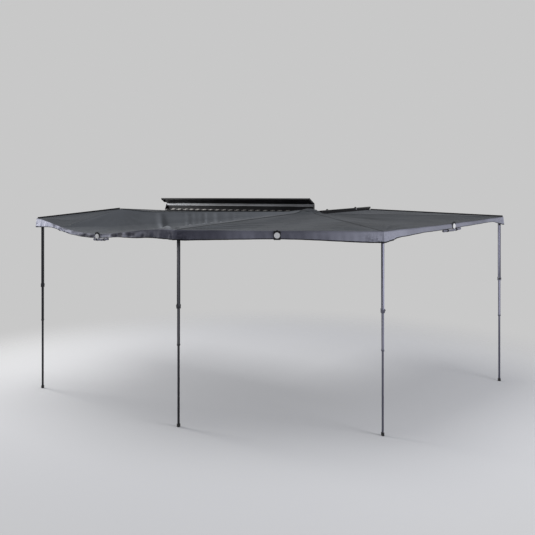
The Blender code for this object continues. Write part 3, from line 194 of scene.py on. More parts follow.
def backdrop_world():
    """One colour for the rays that see the backdrop, and another for the light from it."""
    world = bpy.data.worlds.new("studio")
    world.use_nodes = True
    tree = world.node_tree
    tree.nodes.clear()
    out = node_of(tree, "ShaderNodeOutputWorld")
    mix = node_of(tree, "ShaderNodeMixShader")
    seen = node_of(tree, "ShaderNodeBackground", {"Color": BACKDROP})
    light = node_of(tree, "ShaderNodeBackground", {"Color": SKY_COLOUR, "Strength": SKY_STRENGTH})
    rays = node_of(tree, "ShaderNodeLightPath").outputs
    either = node_of(tree, "ShaderNodeMath", operation="MAXIMUM")
    any_of = node_of(tree, "ShaderNodeMath", operation="MAXIMUM")
    wire(
        tree,
        (rays["Is Camera Ray"], either.inputs[0]),
        (rays["Is Glossy Ray"], either.inputs[1]),
        (either.outputs[0], any_of.inputs[0]),
        (rays["Is Transmission Ray"], any_of.inputs[1]),
        (any_of.outputs[0], mix.inputs["Fac"]),
        (light.outputs[0], mix.inputs[1]),
        (seen.outputs[0], mix.inputs[2]),
        (mix.outputs[0], out.inputs["Surface"]),
    )
    scene.world = world


def floor_material():
    """Matt grey that turns clear before the floor's rim."""
    made, tree, shader = finish("studio_floor", FLOOR_GREY, 0.9)
    shader.inputs["Specular IOR Level"].default_value = 0.0
    place = node_of(tree, "ShaderNodeTexCoord")
    reach = node_of(tree, "ShaderNodeVectorMath", operation="LENGTH")
    fade = node_of(tree, "ShaderNodeMapRange", FLOOR_FADES, interpolation_type="SMOOTHSTEP")
    clear = node_of(tree, "ShaderNodeBsdfTransparent")
    mix = node_of(tree, "ShaderNodeMixShader")
    wire(
        tree,
        (place.outputs["Object"], reach.inputs[0]),
        (reach.outputs["Value"], fade.inputs["Value"]),
        (fade.outputs["Result"], mix.inputs["Fac"]),
        (shader.outputs[0], mix.inputs[1]),
        (clear.outputs[0], mix.inputs[2]),
        (mix.outputs[0], tree.nodes["Material Output"].inputs["Surface"]),
    )
    return made


def studio():
    shape = bmesh.new()
    bmesh.ops.create_circle(shape, cap_ends=True, segments=64, radius=FLOOR_RADIUS)
    floor = placed("studio_floor", mesh_of("studio_floor", shape, floor_material()))
    floor.location = FLOOR_MIDDLE
    for name, (place, target, power, size, colour) in LAMPS.items():
        data = bpy.data.lights.new(name, "AREA")
        data.energy, data.size, data.color = power, size, colour
        lamp = placed(name, data)
        lamp.location = place
        lamp.rotation_euler = (Vector(target) - Vector(place)).to_track_quat("-Z", "Y").to_euler()


backdrop_world()
studio()
scene.view_settings.view_transform = "Standard"
print("floor and lamps", len(LAMPS))

# %% [markdown]
# ## Finishes
# Each finish is a procedural material on Object coordinates. A metal gets fine scratches along
# the way it was drawn, a casting gets the grain of its powder coat, and cloth gets a weave that
# follows the sheet's own UV map. Roughness and bump come from the same pattern as the colour.

# %% Helpers for patterns
EVEN = (1.0, 1.0, 1.0)
BAND_GAP = 0.314  # how far apart the bands of a wave texture lie at a scale of one


def pattern(tree, scale, stretch=EVEN, detail=3.0, source="Object"):
    place = node_of(tree, "ShaderNodeTexCoord")
    mapping = node_of(tree, "ShaderNodeMapping", {"Scale": stretch})
    grain = node_of(tree, "ShaderNodeTexNoise", {"Scale": scale, "Detail": detail})
    wire(
        tree,
        (place.outputs[source], mapping.inputs["Vector"]),
        (mapping.outputs["Vector"], grain.inputs["Vector"]),
    )
    return grain.outputs["Fac"]


def bands(tree, gap, inputs):
    """Even bands across X."""
    return node_of(
        tree, "ShaderNodeTexWave", {"Scale": BAND_GAP / gap, **inputs},
        wave_type="BANDS", bands_direction="X",
    )


def spread(tree, value, low, high):
    step = node_of(tree, "ShaderNodeMapRange", {"To Min": low, "To Max": high})
    wire(tree, (value, step.inputs["Value"]))
    return step.outputs["Result"]


def tinted(tree, value, dark, light, start=0.35, end=0.65):
    ramp = node_of(tree, "ShaderNodeValToRGB")
    for n, (position, colour) in enumerate(((start, dark), (end, light))):
        ramp.color_ramp.elements[n].position = position
        ramp.color_ramp.elements[n].color = (*colour, 1.0)
    wire(tree, (value, ramp.inputs["Fac"]))
    return ramp.outputs["Color"]


def raised(tree, shader, value, strength, distance):
    """A bump on top of the one that the shader may have already."""
    bump = node_of(tree, "ShaderNodeBump", {"Strength": strength, "Distance": distance})
    wire(tree, (value, bump.inputs["Height"]))
    last = shader.inputs["Normal"].links
    if last:
        wire(tree, (last[0].from_socket, bump.inputs["Normal"]))
    wire(tree, (bump.outputs["Normal"], shader.inputs["Normal"]))


# %% Metal and coated finishes
SCRATCHES, SMUDGES, PATCHES, CLOUDS, FLECKS = 30.0, 3.0, 6.0, 1.6, 420.0
CLOTH_SHINE = 0.15
THREAD_WOBBLE = {"Distortion": 0.4, "Detail": 1.0}
BLACK, WHITE = (0.0, 0.0, 0.0, 1.0), (1.0, 1.0, 1.0, 1.0)


def drawn_metal(name, dark, light, roughness, metallic, along=(1.0, 60.0, 60.0)):
    """Metal with fine drawing lines along one axis and faint smudges."""
    made, tree, shader = finish(name, light, roughness, metallic)
    lines = pattern(tree, SCRATCHES, along, 4.0)
    smudge = pattern(tree, SMUDGES, EVEN, 2.0)
    rough = node_of(tree, "ShaderNodeMath", operation="ADD")
    wire(
        tree,
        (tinted(tree, smudge, dark, light), shader.inputs["Base Color"]),
        (spread(tree, lines, -0.06, 0.08), rough.inputs[0]),
        (spread(tree, smudge, roughness - 0.05, roughness + 0.08), rough.inputs[1]),
        (rough.outputs[0], shader.inputs["Roughness"]),
    )
    raised(tree, shader, lines, 0.04, 0.0002)
    return made


def coated(name, dark, light, roughness, grain_scale, metallic=0.0, depth=0.0003):
    """A powder coat or moulded plastic: an even colour with a fine pebbled surface."""
    made, tree, shader = finish(name, light, roughness, metallic)
    grain = pattern(tree, grain_scale, EVEN, 2.0)
    patch = pattern(tree, PATCHES)
    wire(
        tree,
        (tinted(tree, patch, dark, light), shader.inputs["Base Color"]),
        (spread(tree, grain, roughness - 0.08, roughness + 0.10), shader.inputs["Roughness"]),
    )
    raised(tree, shader, grain, 0.25, depth)
    return made


print("metal finishes from scratches at", SCRATCHES)

# %% Woven finishes, and the dashed rail


def woven(name, dark, light, thread, grid=0.0, roughness=0.88, sheen=0.03, painted_lit_colour=None):
    """Plain-woven cloth: two sets of threads on the UV map, which is in metres.

    The painted lit colour takes over where the sheet's own painted-light attribute is high, as
    painted highlight and painted lamp light. The grid is the square of stronger threads in a cloth that
    doesn't rip.
    """
    made, tree, shader = finish(name, light, roughness)
    shader.inputs["Specular IOR Level"].default_value = CLOTH_SHINE
    shader.inputs["Sheen Weight"].default_value = sheen
    shader.inputs["Sheen Roughness"].default_value = 0.5
    on_sheet = node_of(tree, "ShaderNodeTexCoord").outputs["UV"]
    both = node_of(tree, "ShaderNodeMath", operation="MULTIPLY")
    for side, turn in enumerate((0.0, math.pi / 2)):
        mapping = node_of(tree, "ShaderNodeMapping", {"Rotation": (0.0, 0.0, turn)})
        wave = bands(tree, thread, THREAD_WOBBLE)
        wire(
            tree,
            (on_sheet, mapping.inputs["Vector"]),
            (mapping.outputs["Vector"], wave.inputs["Vector"]),
            (wave.outputs["Fac"], both.inputs[side]),
        )
    cloud = pattern(tree, CLOUDS, EVEN, 5.0)
    fleck = pattern(tree, FLECKS, EVEN, 1.0, "UV")
    shade = node_of(tree, "ShaderNodeMath", {1: 0.35}, operation="MULTIPLY_ADD")
    wire(tree, (fleck, shade.inputs[0]), (cloud, shade.inputs[2]))
    colour = tinted(tree, shade.outputs[0], dark, light, 0.45, 0.90)
    # painted light: the sheet's painted-light attribute, plus random mottling, mixes the cloth towards its
    # painted lit colour
    if painted_lit_colour:
        tone = node_of(tree, "ShaderNodeAttribute", attribute_name="tone")
        lightness = node_of(tree, "ShaderNodeMath", {1: 0.30}, operation="MULTIPLY_ADD")
        wire(tree, (cloud, lightness.inputs[0]), (tone.outputs["Fac"], lightness.inputs[2]))
        fade = node_of(tree, "ShaderNodeMix", {7: (*painted_lit_colour, 1.0)}, data_type="RGBA")
        by_painted_light = spread(tree, lightness.outputs[0], -0.13, 0.87)
        wire(tree, (by_painted_light, fade.inputs[0]), (colour, fade.inputs[6]))
        colour = fade.outputs[2]
    wire(
        tree,
        (colour, shader.inputs["Base Color"]),
        (spread(tree, cloud, roughness - 0.06, roughness + 0.06), shader.inputs["Roughness"]),
    )
    raised(tree, shader, both.outputs[0], 0.35, thread * 0.4)
    if grid:
        checks = node_of(
            tree, "ShaderNodeTexBrick",
            {
                "Scale": 1.0, "Brick Width": grid, "Row Height": grid, "Mortar Size": grid * 0.08,
                "Color1": BLACK, "Color2": BLACK, "Mortar": WHITE,
            },
            offset=0.0,
        )
        wire(tree, (on_sheet, checks.inputs["Vector"]))
        raised(tree, shader, checks.outputs["Color"], 0.15, 0.0002)
    return made


def dashed_rail(name, period, bright, dark):
    """A bright bead behind a row of dark clips: uneven dashes along X."""
    made = drawn_metal(name, bright, bright, 0.50, 1.0)
    tree = made.node_tree
    wave = bands(tree, period, {"Distortion": 2.4, "Detail Scale": 0.7})
    place = node_of(tree, "ShaderNodeTexCoord")
    lightness = node_of(tree, "ShaderNodeMath", operation="MULTIPLY")
    uneven = spread(tree, pattern(tree, 5.0, (1.0, 0.0, 0.0), 1.0), 0.40, 1.45)
    wire(
        tree,
        (place.outputs["Object"], wave.inputs["Vector"]),
        (wave.outputs["Fac"], lightness.inputs[0]),
        (uneven, lightness.inputs[1]),
    )
    dashes = tinted(tree, lightness.outputs[0], dark, bright, 0.50, 0.56)
    wire(tree, (dashes, tree.nodes["Principled BSDF"].inputs["Base Color"]))
    return made


# %% The finishes of this awning
ALONG_Z = (60.0, 60.0, 1.0)
ALONG_BEAM = (9.0, 9.0, 60.0)
WEAVE = (0.0011, 0.009)
BLACK_RAIL = drawn_metal("black_rail", (0.010, 0.010, 0.011), (0.020, 0.020, 0.022), 0.38, 0.65)
BRIGHT_RAIL = drawn_metal("bright_rail", (0.20, 0.205, 0.215), (0.30, 0.31, 0.33), 0.58, 1.0)
BEAD_RAIL = dashed_rail("bead_rail", 0.110, (0.20, 0.195, 0.19), (0.020, 0.020, 0.021))
ARM_TUBE = drawn_metal(
    "arm_tube", (0.022, 0.022, 0.025), (0.036, 0.036, 0.040), 0.42, 0.6, ALONG_BEAM
)
POLE_TUBE = drawn_metal(
    "pole_tube", (0.020, 0.020, 0.024), (0.028, 0.028, 0.034), 0.38, 0.6, ALONG_Z
)
# painted light: a lighter copy of the pole tube, for the poles that the right lamp lights
POLE_TUBE_PAINTED_LIT = drawn_metal(
    "pole_tube_violet", (0.085, 0.085, 0.115), (0.105, 0.105, 0.140), 0.36, 0.6, ALONG_Z
)
CASTING = coated("casting", (0.012, 0.012, 0.013), (0.022, 0.022, 0.023), 0.50, 900.0, 0.2)
MOULDED = coated("moulded_plastic", (0.012, 0.012, 0.012), (0.020, 0.020, 0.021), 0.55, 1400.0)
RUBBER = coated("rubber_foot", (0.010, 0.010, 0.010), (0.022, 0.022, 0.022), 0.85, 700.0)
PALE_STUD = coated("pale_stud", (0.62, 0.62, 0.63), (0.74, 0.74, 0.75), 0.40, 500.0, 0.0, 0.0001)
SCREW_STEEL = coated(
    "screw_steel", (0.18, 0.18, 0.19), (0.30, 0.30, 0.31), 0.35, 800.0, 1.0, 0.0001
)
# the canopy's lighter colour is painted highlight, on fold ridges and on the brighter gores
CANOPY_CLOTH = woven(
    "canopy_cloth", (0.036, 0.039, 0.043), (0.045, 0.049, 0.054), *WEAVE, 0.88, 0.03,
    painted_lit_colour=(0.165, 0.175, 0.190),
)
# the valance's near-white colour is painted lamp light, strongest at the first corner
VALANCE_CLOTH = woven(
    "valance_cloth", (0.030, 0.030, 0.042), (0.045, 0.045, 0.062), *WEAVE, 0.75, 0.05,
    painted_lit_colour=(0.70, 0.71, 0.82),
)
WEBBING = woven("webbing", (0.008, 0.008, 0.009), (0.016, 0.016, 0.018), 0.0022, 0.0, 0.8, 0.02)
STRAP_ROLL = woven("strap_roll", (0.13, 0.13, 0.155), (0.22, 0.22, 0.265), 0.0016, 0.0, 0.8, 0.02)
BADGE_FACE = coated("plain_badge", (0.56, 0.56, 0.55), (0.66, 0.66, 0.65), 0.45, 1200.0)
THREAD = coated("thread", (0.03, 0.03, 0.035), (0.05, 0.05, 0.055), 0.7, 2000.0)
print("finishes", len(bpy.data.materials))

# %% [markdown]
# ## Metal pieces with soft edges
# A real extrusion or casting has no knife edges: each has a small radius that catches the light.
# The frame's nodes are loose triangles, so each is copied, merged and bevelled, and the copy
# stands for the node.

# %% Bevelled copies of the frame's hard pieces


def uv_metres(mesh):
    """A UV map in metres, taken from the two widest directions of each face."""
    layer = mesh.uv_layers.get("metres") or mesh.uv_layers.new(name="metres")
    for face in mesh.polygons:
        drop = max(range(3), key=lambda axis: abs(face.normal[axis]))
        keep = [axis for axis in range(3) if axis != drop]
        for loop in face.loop_indices:
            place = mesh.vertices[mesh.loops[loop].vertex_index].co
            layer.data[loop].uv = (place[keep[0]], place[keep[1]])


def plain(obj):
    """The object as its modifiers make it, as a plain mesh at the origin."""
    bpy.context.view_layer.update()
    graph = bpy.context.evaluated_depsgraph_get()
    mesh = bpy.data.meshes.new_from_object(obj.evaluated_get(graph))
    mesh.transform(obj.matrix_world)
    name = obj.name
    bpy.data.objects.remove(obj, do_unlink=True)
    return placed(name, mesh)


def soft_edged(node, material, width):
    """A merged, bevelled copy of a node that takes its place."""
    source = frame["nodes"][node]
    mesh = source.data.copy()
    shape = bmesh.new()
    shape.from_mesh(mesh)
    bmesh.ops.remove_doubles(shape, verts=shape.verts, dist=2e-6)
    bmesh.ops.dissolve_limit(
        shape, angle_limit=math.radians(1.0), verts=shape.verts, edges=shape.edges
    )
    shape.to_mesh(mesh)
    shape.free()
    copy = placed(node + "_edged", mesh)
    bevel = copy.modifiers.new("edge", "BEVEL")
    bevel.width = width
    bevel.segments = 2
    bevel.limit_method = "ANGLE"
    bevel.angle_limit = math.radians(50)
    made = plain(copy)
    made.data.materials.clear()
    made.data.materials.append(material)
    made.data.shade_smooth()
    made.data.set_sharp_from_angle(angle=math.radians(35))
    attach(made, body_of(source)[0])
    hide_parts(node)
    return made


HARD_PIECES = {
    "back_wall": (BLACK_RAIL, 0.0004),
    "floor_tray": (BLACK_RAIL, 0.0006),
    "bright_strip": (BRIGHT_RAIL, 0.0005),
    "cloth_rail": (BEAD_RAIL, 0.0003),
    "case_end_front": (MOULDED, 0.0006),
    "case_end_rear": (MOULDED, 0.0006),
    "lid_panel": (BLACK_RAIL, 0.0005),
    "lid_end_front": (MOULDED, 0.0005),
    "lid_end_rear": (MOULDED, 0.0005),
    "hub_bracket": (CASTING, 0.0008),
    "rear_rail": (BLACK_RAIL, 0.0010),
    "rear_rail_stud_1": (MOULDED, 0.0012),
    "rear_rail_stud_2": (MOULDED, 0.0012),
    "elbow_eye": (CASTING, 0.0006),
    "extension_fork": (CASTING, 0.0006),
    "extension_beam": (ARM_TUBE, 0.0008),
    "extension_tip": (CASTING, 0.0006),
}
for n in (1, 2, 3):
    HARD_PIECES[f"rack_bracket_{n}"] = (BLACK_RAIL, 0.0008)
for n in (1, 2, 3, 4):
    HARD_PIECES[f"knuckle_{n}"] = (CASTING, 0.0006)
    HARD_PIECES[f"arm_{n}_beam"] = (ARM_TUBE, 0.0008)
    # the third and fourth poles take the copy with painted light
    tube = POLE_TUBE if n < 3 else POLE_TUBE_PAINTED_LIT
    HARD_PIECES[f"pole_{n}_outer"] = (tube, 0.0007)
    HARD_PIECES[f"pole_{n}_middle"] = (tube, 0.0005)
    HARD_PIECES[f"pole_{n}_lower"] = (tube, 0.0005)
    HARD_PIECES[f"pole_{n}_foot"] = (RUBBER, 0.0015)
    HARD_PIECES[f"pole_{n}_knob"] = (MOULDED, 0.0008)
    if n > 1:
        HARD_PIECES[f"arm_{n}_tip"] = (CASTING, 0.0006)
for piece_name, (piece_finish, piece_edge) in HARD_PIECES.items():
    soft_edged(piece_name, piece_finish, piece_edge)
print("bevelled pieces", len(HARD_PIECES))

# %% [markdown]
# ## The canopy's lines
# Each gore is cut between two arms and sewn to the next one over an arm. The lines are the arms'
# own: they come from the same opened angles, falls and lengths as the frame's.

# %% Measures of the arms and the canopy
# the valance's sides: b from the first corner to the second, c to the third, d to the fourth
HUB = Vector(joints["arm_1_swing"]["pos_m"])
ARM_OPEN = {1: 36.4, 2: 80.2, 3: 145.2, 4: 221.4}
ARM_FALL = {1: 0.0, 2: 3.1, 3: 2.25, 4: -1.15}
POLE_REACH = {2: 1.844, 3: 1.613, 4: 2.278}
LEVEL_TOP = {1: 0.023, 2: -0.015, 3: -0.053, 4: -0.091}
BEAM_HIGH = 0.034
BEAM_WIDE = 0.028
ELBOW = Vector((2.190, 0.016, LEVEL_TOP[1] - BEAM_HIGH / 2))
EXT_FALL = 4.8
EXT_POLE_REACH = 0.860
CLOTH_LIFT = 0.009
CLOTH_OVER_ELBOW = 0.038
CLOTH_UP_TO_ELBOW = 0.350
CLOTH_SKIRT_Z = {1: 0.032, 2: 0.026, 3: 0.018, 4: 0.006}
CROWN_FALLS = {1: 0.195, 2: 0.195, 3: 0.150, 4: 0.110}
CORNER_PAST_POLE = 0.064
HUB_R = 0.075
HUB_Z = 0.049
CORNER_SHARE = 0.22
KNEE = 0.35
EDGE_SAG = {"b": 0.114, "c": 0.003, "d": 0.008}
SAG_LEAN = 0.8
VALANCE = {
    "b": ((0.0, 0.098), (0.16, 0.042), (0.6, 0.042), (0.8, 0.078), (1.0, 0.098)),
    "c": ((0.0, 0.098), (0.5, 0.078), (1.0, 0.106)),
    "d": ((0.0, 0.106), (0.12, 0.070), (0.3, 0.054), (0.86, 0.040), (1.0, 0.094)),
}
print("arms open to", list(ARM_OPEN.values()))

# %% Lines over the arms


def mixed(a, b, share):
    return a * (1 - share) + b * share


def smooth(value, low, high):
    t = min(1.0, max(0.0, (value - low) / (high - low)))
    return t * t * (3 - 2 * t)


def arm_frame(number):
    opened = math.pi + math.radians(ARM_OPEN[number])
    fall = math.radians(ARM_FALL[number])
    return Matrix.Translation(HUB) @ Matrix.Rotation(opened, 4, "Z") @ Matrix.Rotation(fall, 4, "Y")


def over_arm(number, distance, lift=CLOTH_LIFT):
    return arm_frame(number) @ Vector((distance, 0.0, LEVEL_TOP[number] + lift))


def hub_edge(number):
    angle = math.pi + math.radians(ARM_OPEN[number])
    return HUB + Vector((HUB_R * math.cos(angle), HUB_R * math.sin(angle), HUB_Z))


def arm_line(number, side=0.0):
    """The cloth's line over an arm, moved aside by half a seam: crown, level run, raised end."""
    start = HUB_AT[number]
    end = ELBOW_TOP if number == 1 else CORNER[number]
    chord = end - start
    shift = Vector((chord.y, -chord.x, 0.0)).normalized() * side
    foot = CLOTH_SKIRT_Z[number]

    def at(out):
        place = mixed(start, end, out) + shift
        crown = 1 - smooth(out * chord.length, 0.0, CROWN_FALLS[number])
        rise = out
        if number == 1:
            rise = 1 - smooth((1 - out) * chord.length, 0.0, CLOTH_UP_TO_ELBOW * 1.1)
        place.z = foot + (end.z - foot) * rise + (start.z - foot) * crown
        return place

    return at


def edge_sag(letter, share):
    if letter == "b":
        return EDGE_SAG[letter] * math.sin(math.pi * share**SAG_LEAN) ** 2
    return EDGE_SAG[letter] * math.sin(math.pi * share)


def valance_high(letter, share):
    rows = VALANCE[letter]
    for (s0, v0), (s1, v1) in zip(rows, rows[1:]):
        if share <= s1:
            return v0 + (v1 - v0) * smooth(share, s0, s1)
    return rows[-1][1]


def level_way(start, end):
    return Vector((end.x - start.x, end.y - start.y, 0.0)).normalized()


def outward_of(start, end):
    chord = end - start
    aside = Vector((chord.y, -chord.x, 0.0)).normalized()
    return aside if aside.dot(mixed(start, end, 0.5) - HUB) > 0 else -aside


EXT_TURN = Matrix.Rotation(math.radians(EXT_FALL), 4, "Y")
EXT_FRAME = arm_frame(1) @ Matrix.Translation(ELBOW) @ EXT_TURN
CORNER = {n: over_arm(n, POLE_REACH[n] + CORNER_PAST_POLE) for n in (2, 3, 4)}
CORNER[1] = EXT_FRAME @ Vector(
    (EXT_POLE_REACH + CORNER_PAST_POLE, -ELBOW.y, BEAM_HIGH / 2 + CLOTH_LIFT)
)
HUB_AT = {n: hub_edge(n) for n in (1, 2, 3, 4)}
ELBOW_TOP = over_arm(1, ELBOW.x - 0.030, CLOTH_OVER_ELBOW)
EXT_ROOT = EXT_FRAME @ Vector((0.0, -ELBOW.y, BEAM_HIGH / 2 + CLOTH_OVER_ELBOW))
print("corners", {n: [round(v, 3) for v in c] for n, c in CORNER.items()})

# %% [markdown]
# ## Cloth under tension
# Canopy cloth is not flat: it sags between the arms, it pulls in folds out of each corner where
# the load comes in, and small creases remember how it was packed. Each of these is a rule on the
# gore's two directions, across and out, so the sheet is made from the rule as a fine grid. The
# folds die out over an arm, because there the cloth lies on the beam. Their ridges carry painted
# highlight and their valleys painted shade, which each sheet keeps in an attribute, its painted light.

# %% Rules for sag, folds and creases
CLOTH_THICK = 0.0012
CLOTHS = (CANOPY_CLOTH, VALANCE_CLOTH, WEBBING)
SEAM_FOLD_DEEP = 0.0140
SEAM_FOLD_STEP = 0.105
CREASE_DEEP = 0.018
CREASE_TURN = math.radians(140.5)


def crumple(point, scale, seed):
    return noise.noise(Vector((point.x * scale + seed, point.y * scale - seed, seed * 0.37)))


def ridged(point, scale, seed):
    at = Vector((point.x * scale - seed, point.y * scale + seed, seed))
    return 1.0 - abs(noise.noise(at) * 2.0)


def fan_folds(point, corner, inward, fan, seed):
    """Folds that fan out of a corner: none at the corner itself, deepest a hand away.

    The fan is how deep the folds are, how far they reach and how close they stand.
    """
    deep, reach, folds = fan
    away = point - corner
    distance = math.hypot(away.x, away.y)
    if distance > reach or distance < 1e-6:
        return 0.0
    turn = math.atan2(away.y, away.x) - math.atan2(inward.y, inward.x)
    turn = (turn + math.pi) % (2 * math.pi) - math.pi
    rise = smooth(distance, 0.0, 0.30)
    fade = 1.0 - smooth(distance, reach * 0.25, reach)
    wobble = 1.3 * crumple(point, 2.0, seed) + 0.8 * math.sin(0.29 * folds * turn + seed)
    strength = 0.60 + 0.40 * math.sin(0.41 * folds * turn + 2 * seed)
    ridge = math.sin(folds * turn + wobble + seed)
    ridge = 1.4 * (1 - abs(ridge)) ** 1.6 - 0.5
    return deep * rise * fade * strength * ridge


def seam_folds(point, corner, seam_way, fold_way, seed):
    """Folds that leave a seam at a slant, and one sharp crease out of the corner beside it."""
    away = point - corner
    across = seam_way.x * fold_way.y - seam_way.y * fold_way.x
    start = (away.x * fold_way.y - away.y * fold_way.x) / across
    run = (seam_way.x * away.y - seam_way.y * away.x) / across
    near = smooth(start, 0.02, 0.12) * (1 - smooth(start, 0.40, 1.15))
    near *= smooth(run, 0.05, 0.40) * (1 - smooth(run, 1.15, 1.60))
    wobble = 1.9 * crumple(point, 1.7, seed) + 0.9 * math.sin(11 * start + seed)
    strength = 0.58 + 0.42 * math.sin(31 * start + 3 * seed)
    ridge = math.sin(math.pi * (start + 0.09 * run) / SEAM_FOLD_STEP + wobble)
    swell = SEAM_FOLD_DEEP * near * strength * (1.3 * (1 - abs(ridge)) ** 2.4 - 0.2)
    distance = math.hypot(away.x, away.y)
    turn = math.atan2(away.y, away.x) - CREASE_TURN
    beside = distance * math.sin(turn)
    reach = smooth(distance, 0.03, 0.15) * (1 - smooth(distance, 0.85, 1.50))
    crest = math.exp(-(((beside - 0.030) / 0.026) ** 2))
    valley = math.exp(-(((beside + 0.026) / 0.030) ** 2))
    return swell + CREASE_DEEP * reach * (crest - valley)


print("crease at", round(math.degrees(CREASE_TURN), 1))

# %% A sheet from rows of points


def metres_uv(rows):
    """Distances along the middle row and column, so that the weave keeps its size."""
    mid = len(rows) // 2
    x = [0.0]
    for a, b in zip(rows[mid], rows[mid][1:]):
        x.append(x[-1] + ((b - a).length if a is not None and b is not None else 0.0))
    y = [0.0]
    col = len(rows[0]) * 2 // 3
    for above, below in zip(rows, rows[1:]):
        y.append(y[-1] + (below[col] - above[col]).length)
    return lambda j, i: (x[i], y[j])


def sheet_object(name, rows, hem_from=None, lip_from=None, flap=0, tone=None, painted_light_grid=()):
    """A sheet from rows of points, with metre UVs, closed to a thin solid.

    Rows from hem_from on take the second material. Rows from lip_from on take the third, and so
    do the first flap columns, or the last ones where flap is negative. The painted light of a
    vertex is how much paler it is painted: from the list where that has it, and from the rule elsewhere.
    """
    uv = metres_uv(rows)
    shape = bmesh.new()
    layer = shape.loops.layers.uv.new("metres")
    # painted light of each vertex, read by the cloth finishes
    shade = shape.verts.layers.float.new("tone")
    verts = [[None if p is None else shape.verts.new(p) for p in row] for row in rows]
    for j in range(len(rows) - 1):
        for i in range(len(rows[0]) - 1):
            ring = (verts[j][i], verts[j][i + 1], verts[j + 1][i + 1], verts[j + 1][i])
            if any(v is None for v in ring):
                continue
            face = shape.faces.new(ring)
            if hem_from is not None and j >= hem_from:
                face.material_index = 1
            on_flap = i < flap or i >= len(rows[0]) - 1 + min(flap, 0)
            if on_flap or (lip_from is not None and j >= lip_from):
                face.material_index = 2
            for loop, (a, b) in zip(face.loops, ((j, i), (j, i + 1), (j + 1, i + 1), (j + 1, i))):
                loop[layer].uv = uv(a, b)
    for j, row in enumerate(verts):
        for i, vert in enumerate(row):
            column = i - max(flap, 0)
            if vert is None:
                continue
            if j < len(painted_light_grid) and 0 <= column < len(painted_light_grid[j]):
                vert[shade] = painted_light_grid[j][column]
            elif tone:
                vert[shade] = tone(vert.co)
    if sum(face.normal.z for face in shape.faces if face.material_index == 0) < 0:
        bmesh.ops.reverse_faces(shape, faces=shape.faces)
    obj = placed(name, mesh_of(name, shape, *CLOTHS))
    wall = obj.modifiers.new("cloth", "SOLIDIFY")
    wall.thickness = CLOTH_THICK
    wall.offset = 1.0
    made = plain(obj)
    made.data.shade_smooth()
    made.data.set_sharp_from_angle(angle=math.radians(60))
    return made


print("cloth is", CLOTH_THICK, "m thick")

# %% [markdown]
# ## A gore and its valance
# A gore runs from the hub's crown to its outer edge. The valance hangs from that edge: it is
# puckered where it turns a corner, because there the cloth is gathered round the pole, and it
# hangs in long soft folds between. Its lower edge is bound in black tape.

# %% The points of a valance
SEAM = 0.0007
TAB_SHARE = {"b": 0.495, "c": 0.50, "d": 0.51}
ALONG = 110
HEM_ROWS = 9
VALANCE_FOLDS = 10
# painted light: the corner piece's even painted lightness, and how strongly a fold's ridge is painted
# lighter and its valley darker
PAINTED_LIGHT_BASE = 0.12
PAINTED_LIGHT_BY_FOLD = 40.0


def valance_point(edge, share, drop, high, ways, folds, seed, tab_at=0.5):
    """A point that hangs from the edge: puckered near the corners, flat behind the tab."""
    start, middle, end = ways
    lean = mixed(start, mixed(end, middle, min(1.0, (1 - share) / 0.08)), min(1.0, share / 0.08))
    lean = lean.normalized()
    near = max(1 - smooth(share, 0.0, 0.14), smooth(share, 0.86, 1.0))
    held = smooth(share, 0.0, 0.012) * (1 - smooth(share, 0.988, 1.0))
    held *= smooth(abs(share - tab_at), 0.018, 0.060)
    wave = math.sin(share * folds * 2 * math.pi + seed) * 0.0030
    wave += math.sin(share * folds * 5.3 * math.pi + seed * 2) * 0.0018
    wave += near * math.sin(share * folds * 13 * math.pi + 5 * drop + seed) * 0.0060
    wave += crumple(edge, 7.0, seed) * 0.007
    pucker = crumple(edge + Vector((drop * 0.2, drop * 0.3, 0.0)), 24.0, seed + 3)
    wave += near * pucker * 0.026
    out = 0.012 * drop + wave * min(1.0, drop * 1.6) * held
    dip = 0.004 * near * crumple(edge, 9.0, seed + 6)
    return edge + lean * out - Vector((0, 0, (high + dip) * drop))


print("valance rows", HEM_ROWS)

# %% One gore as a grid


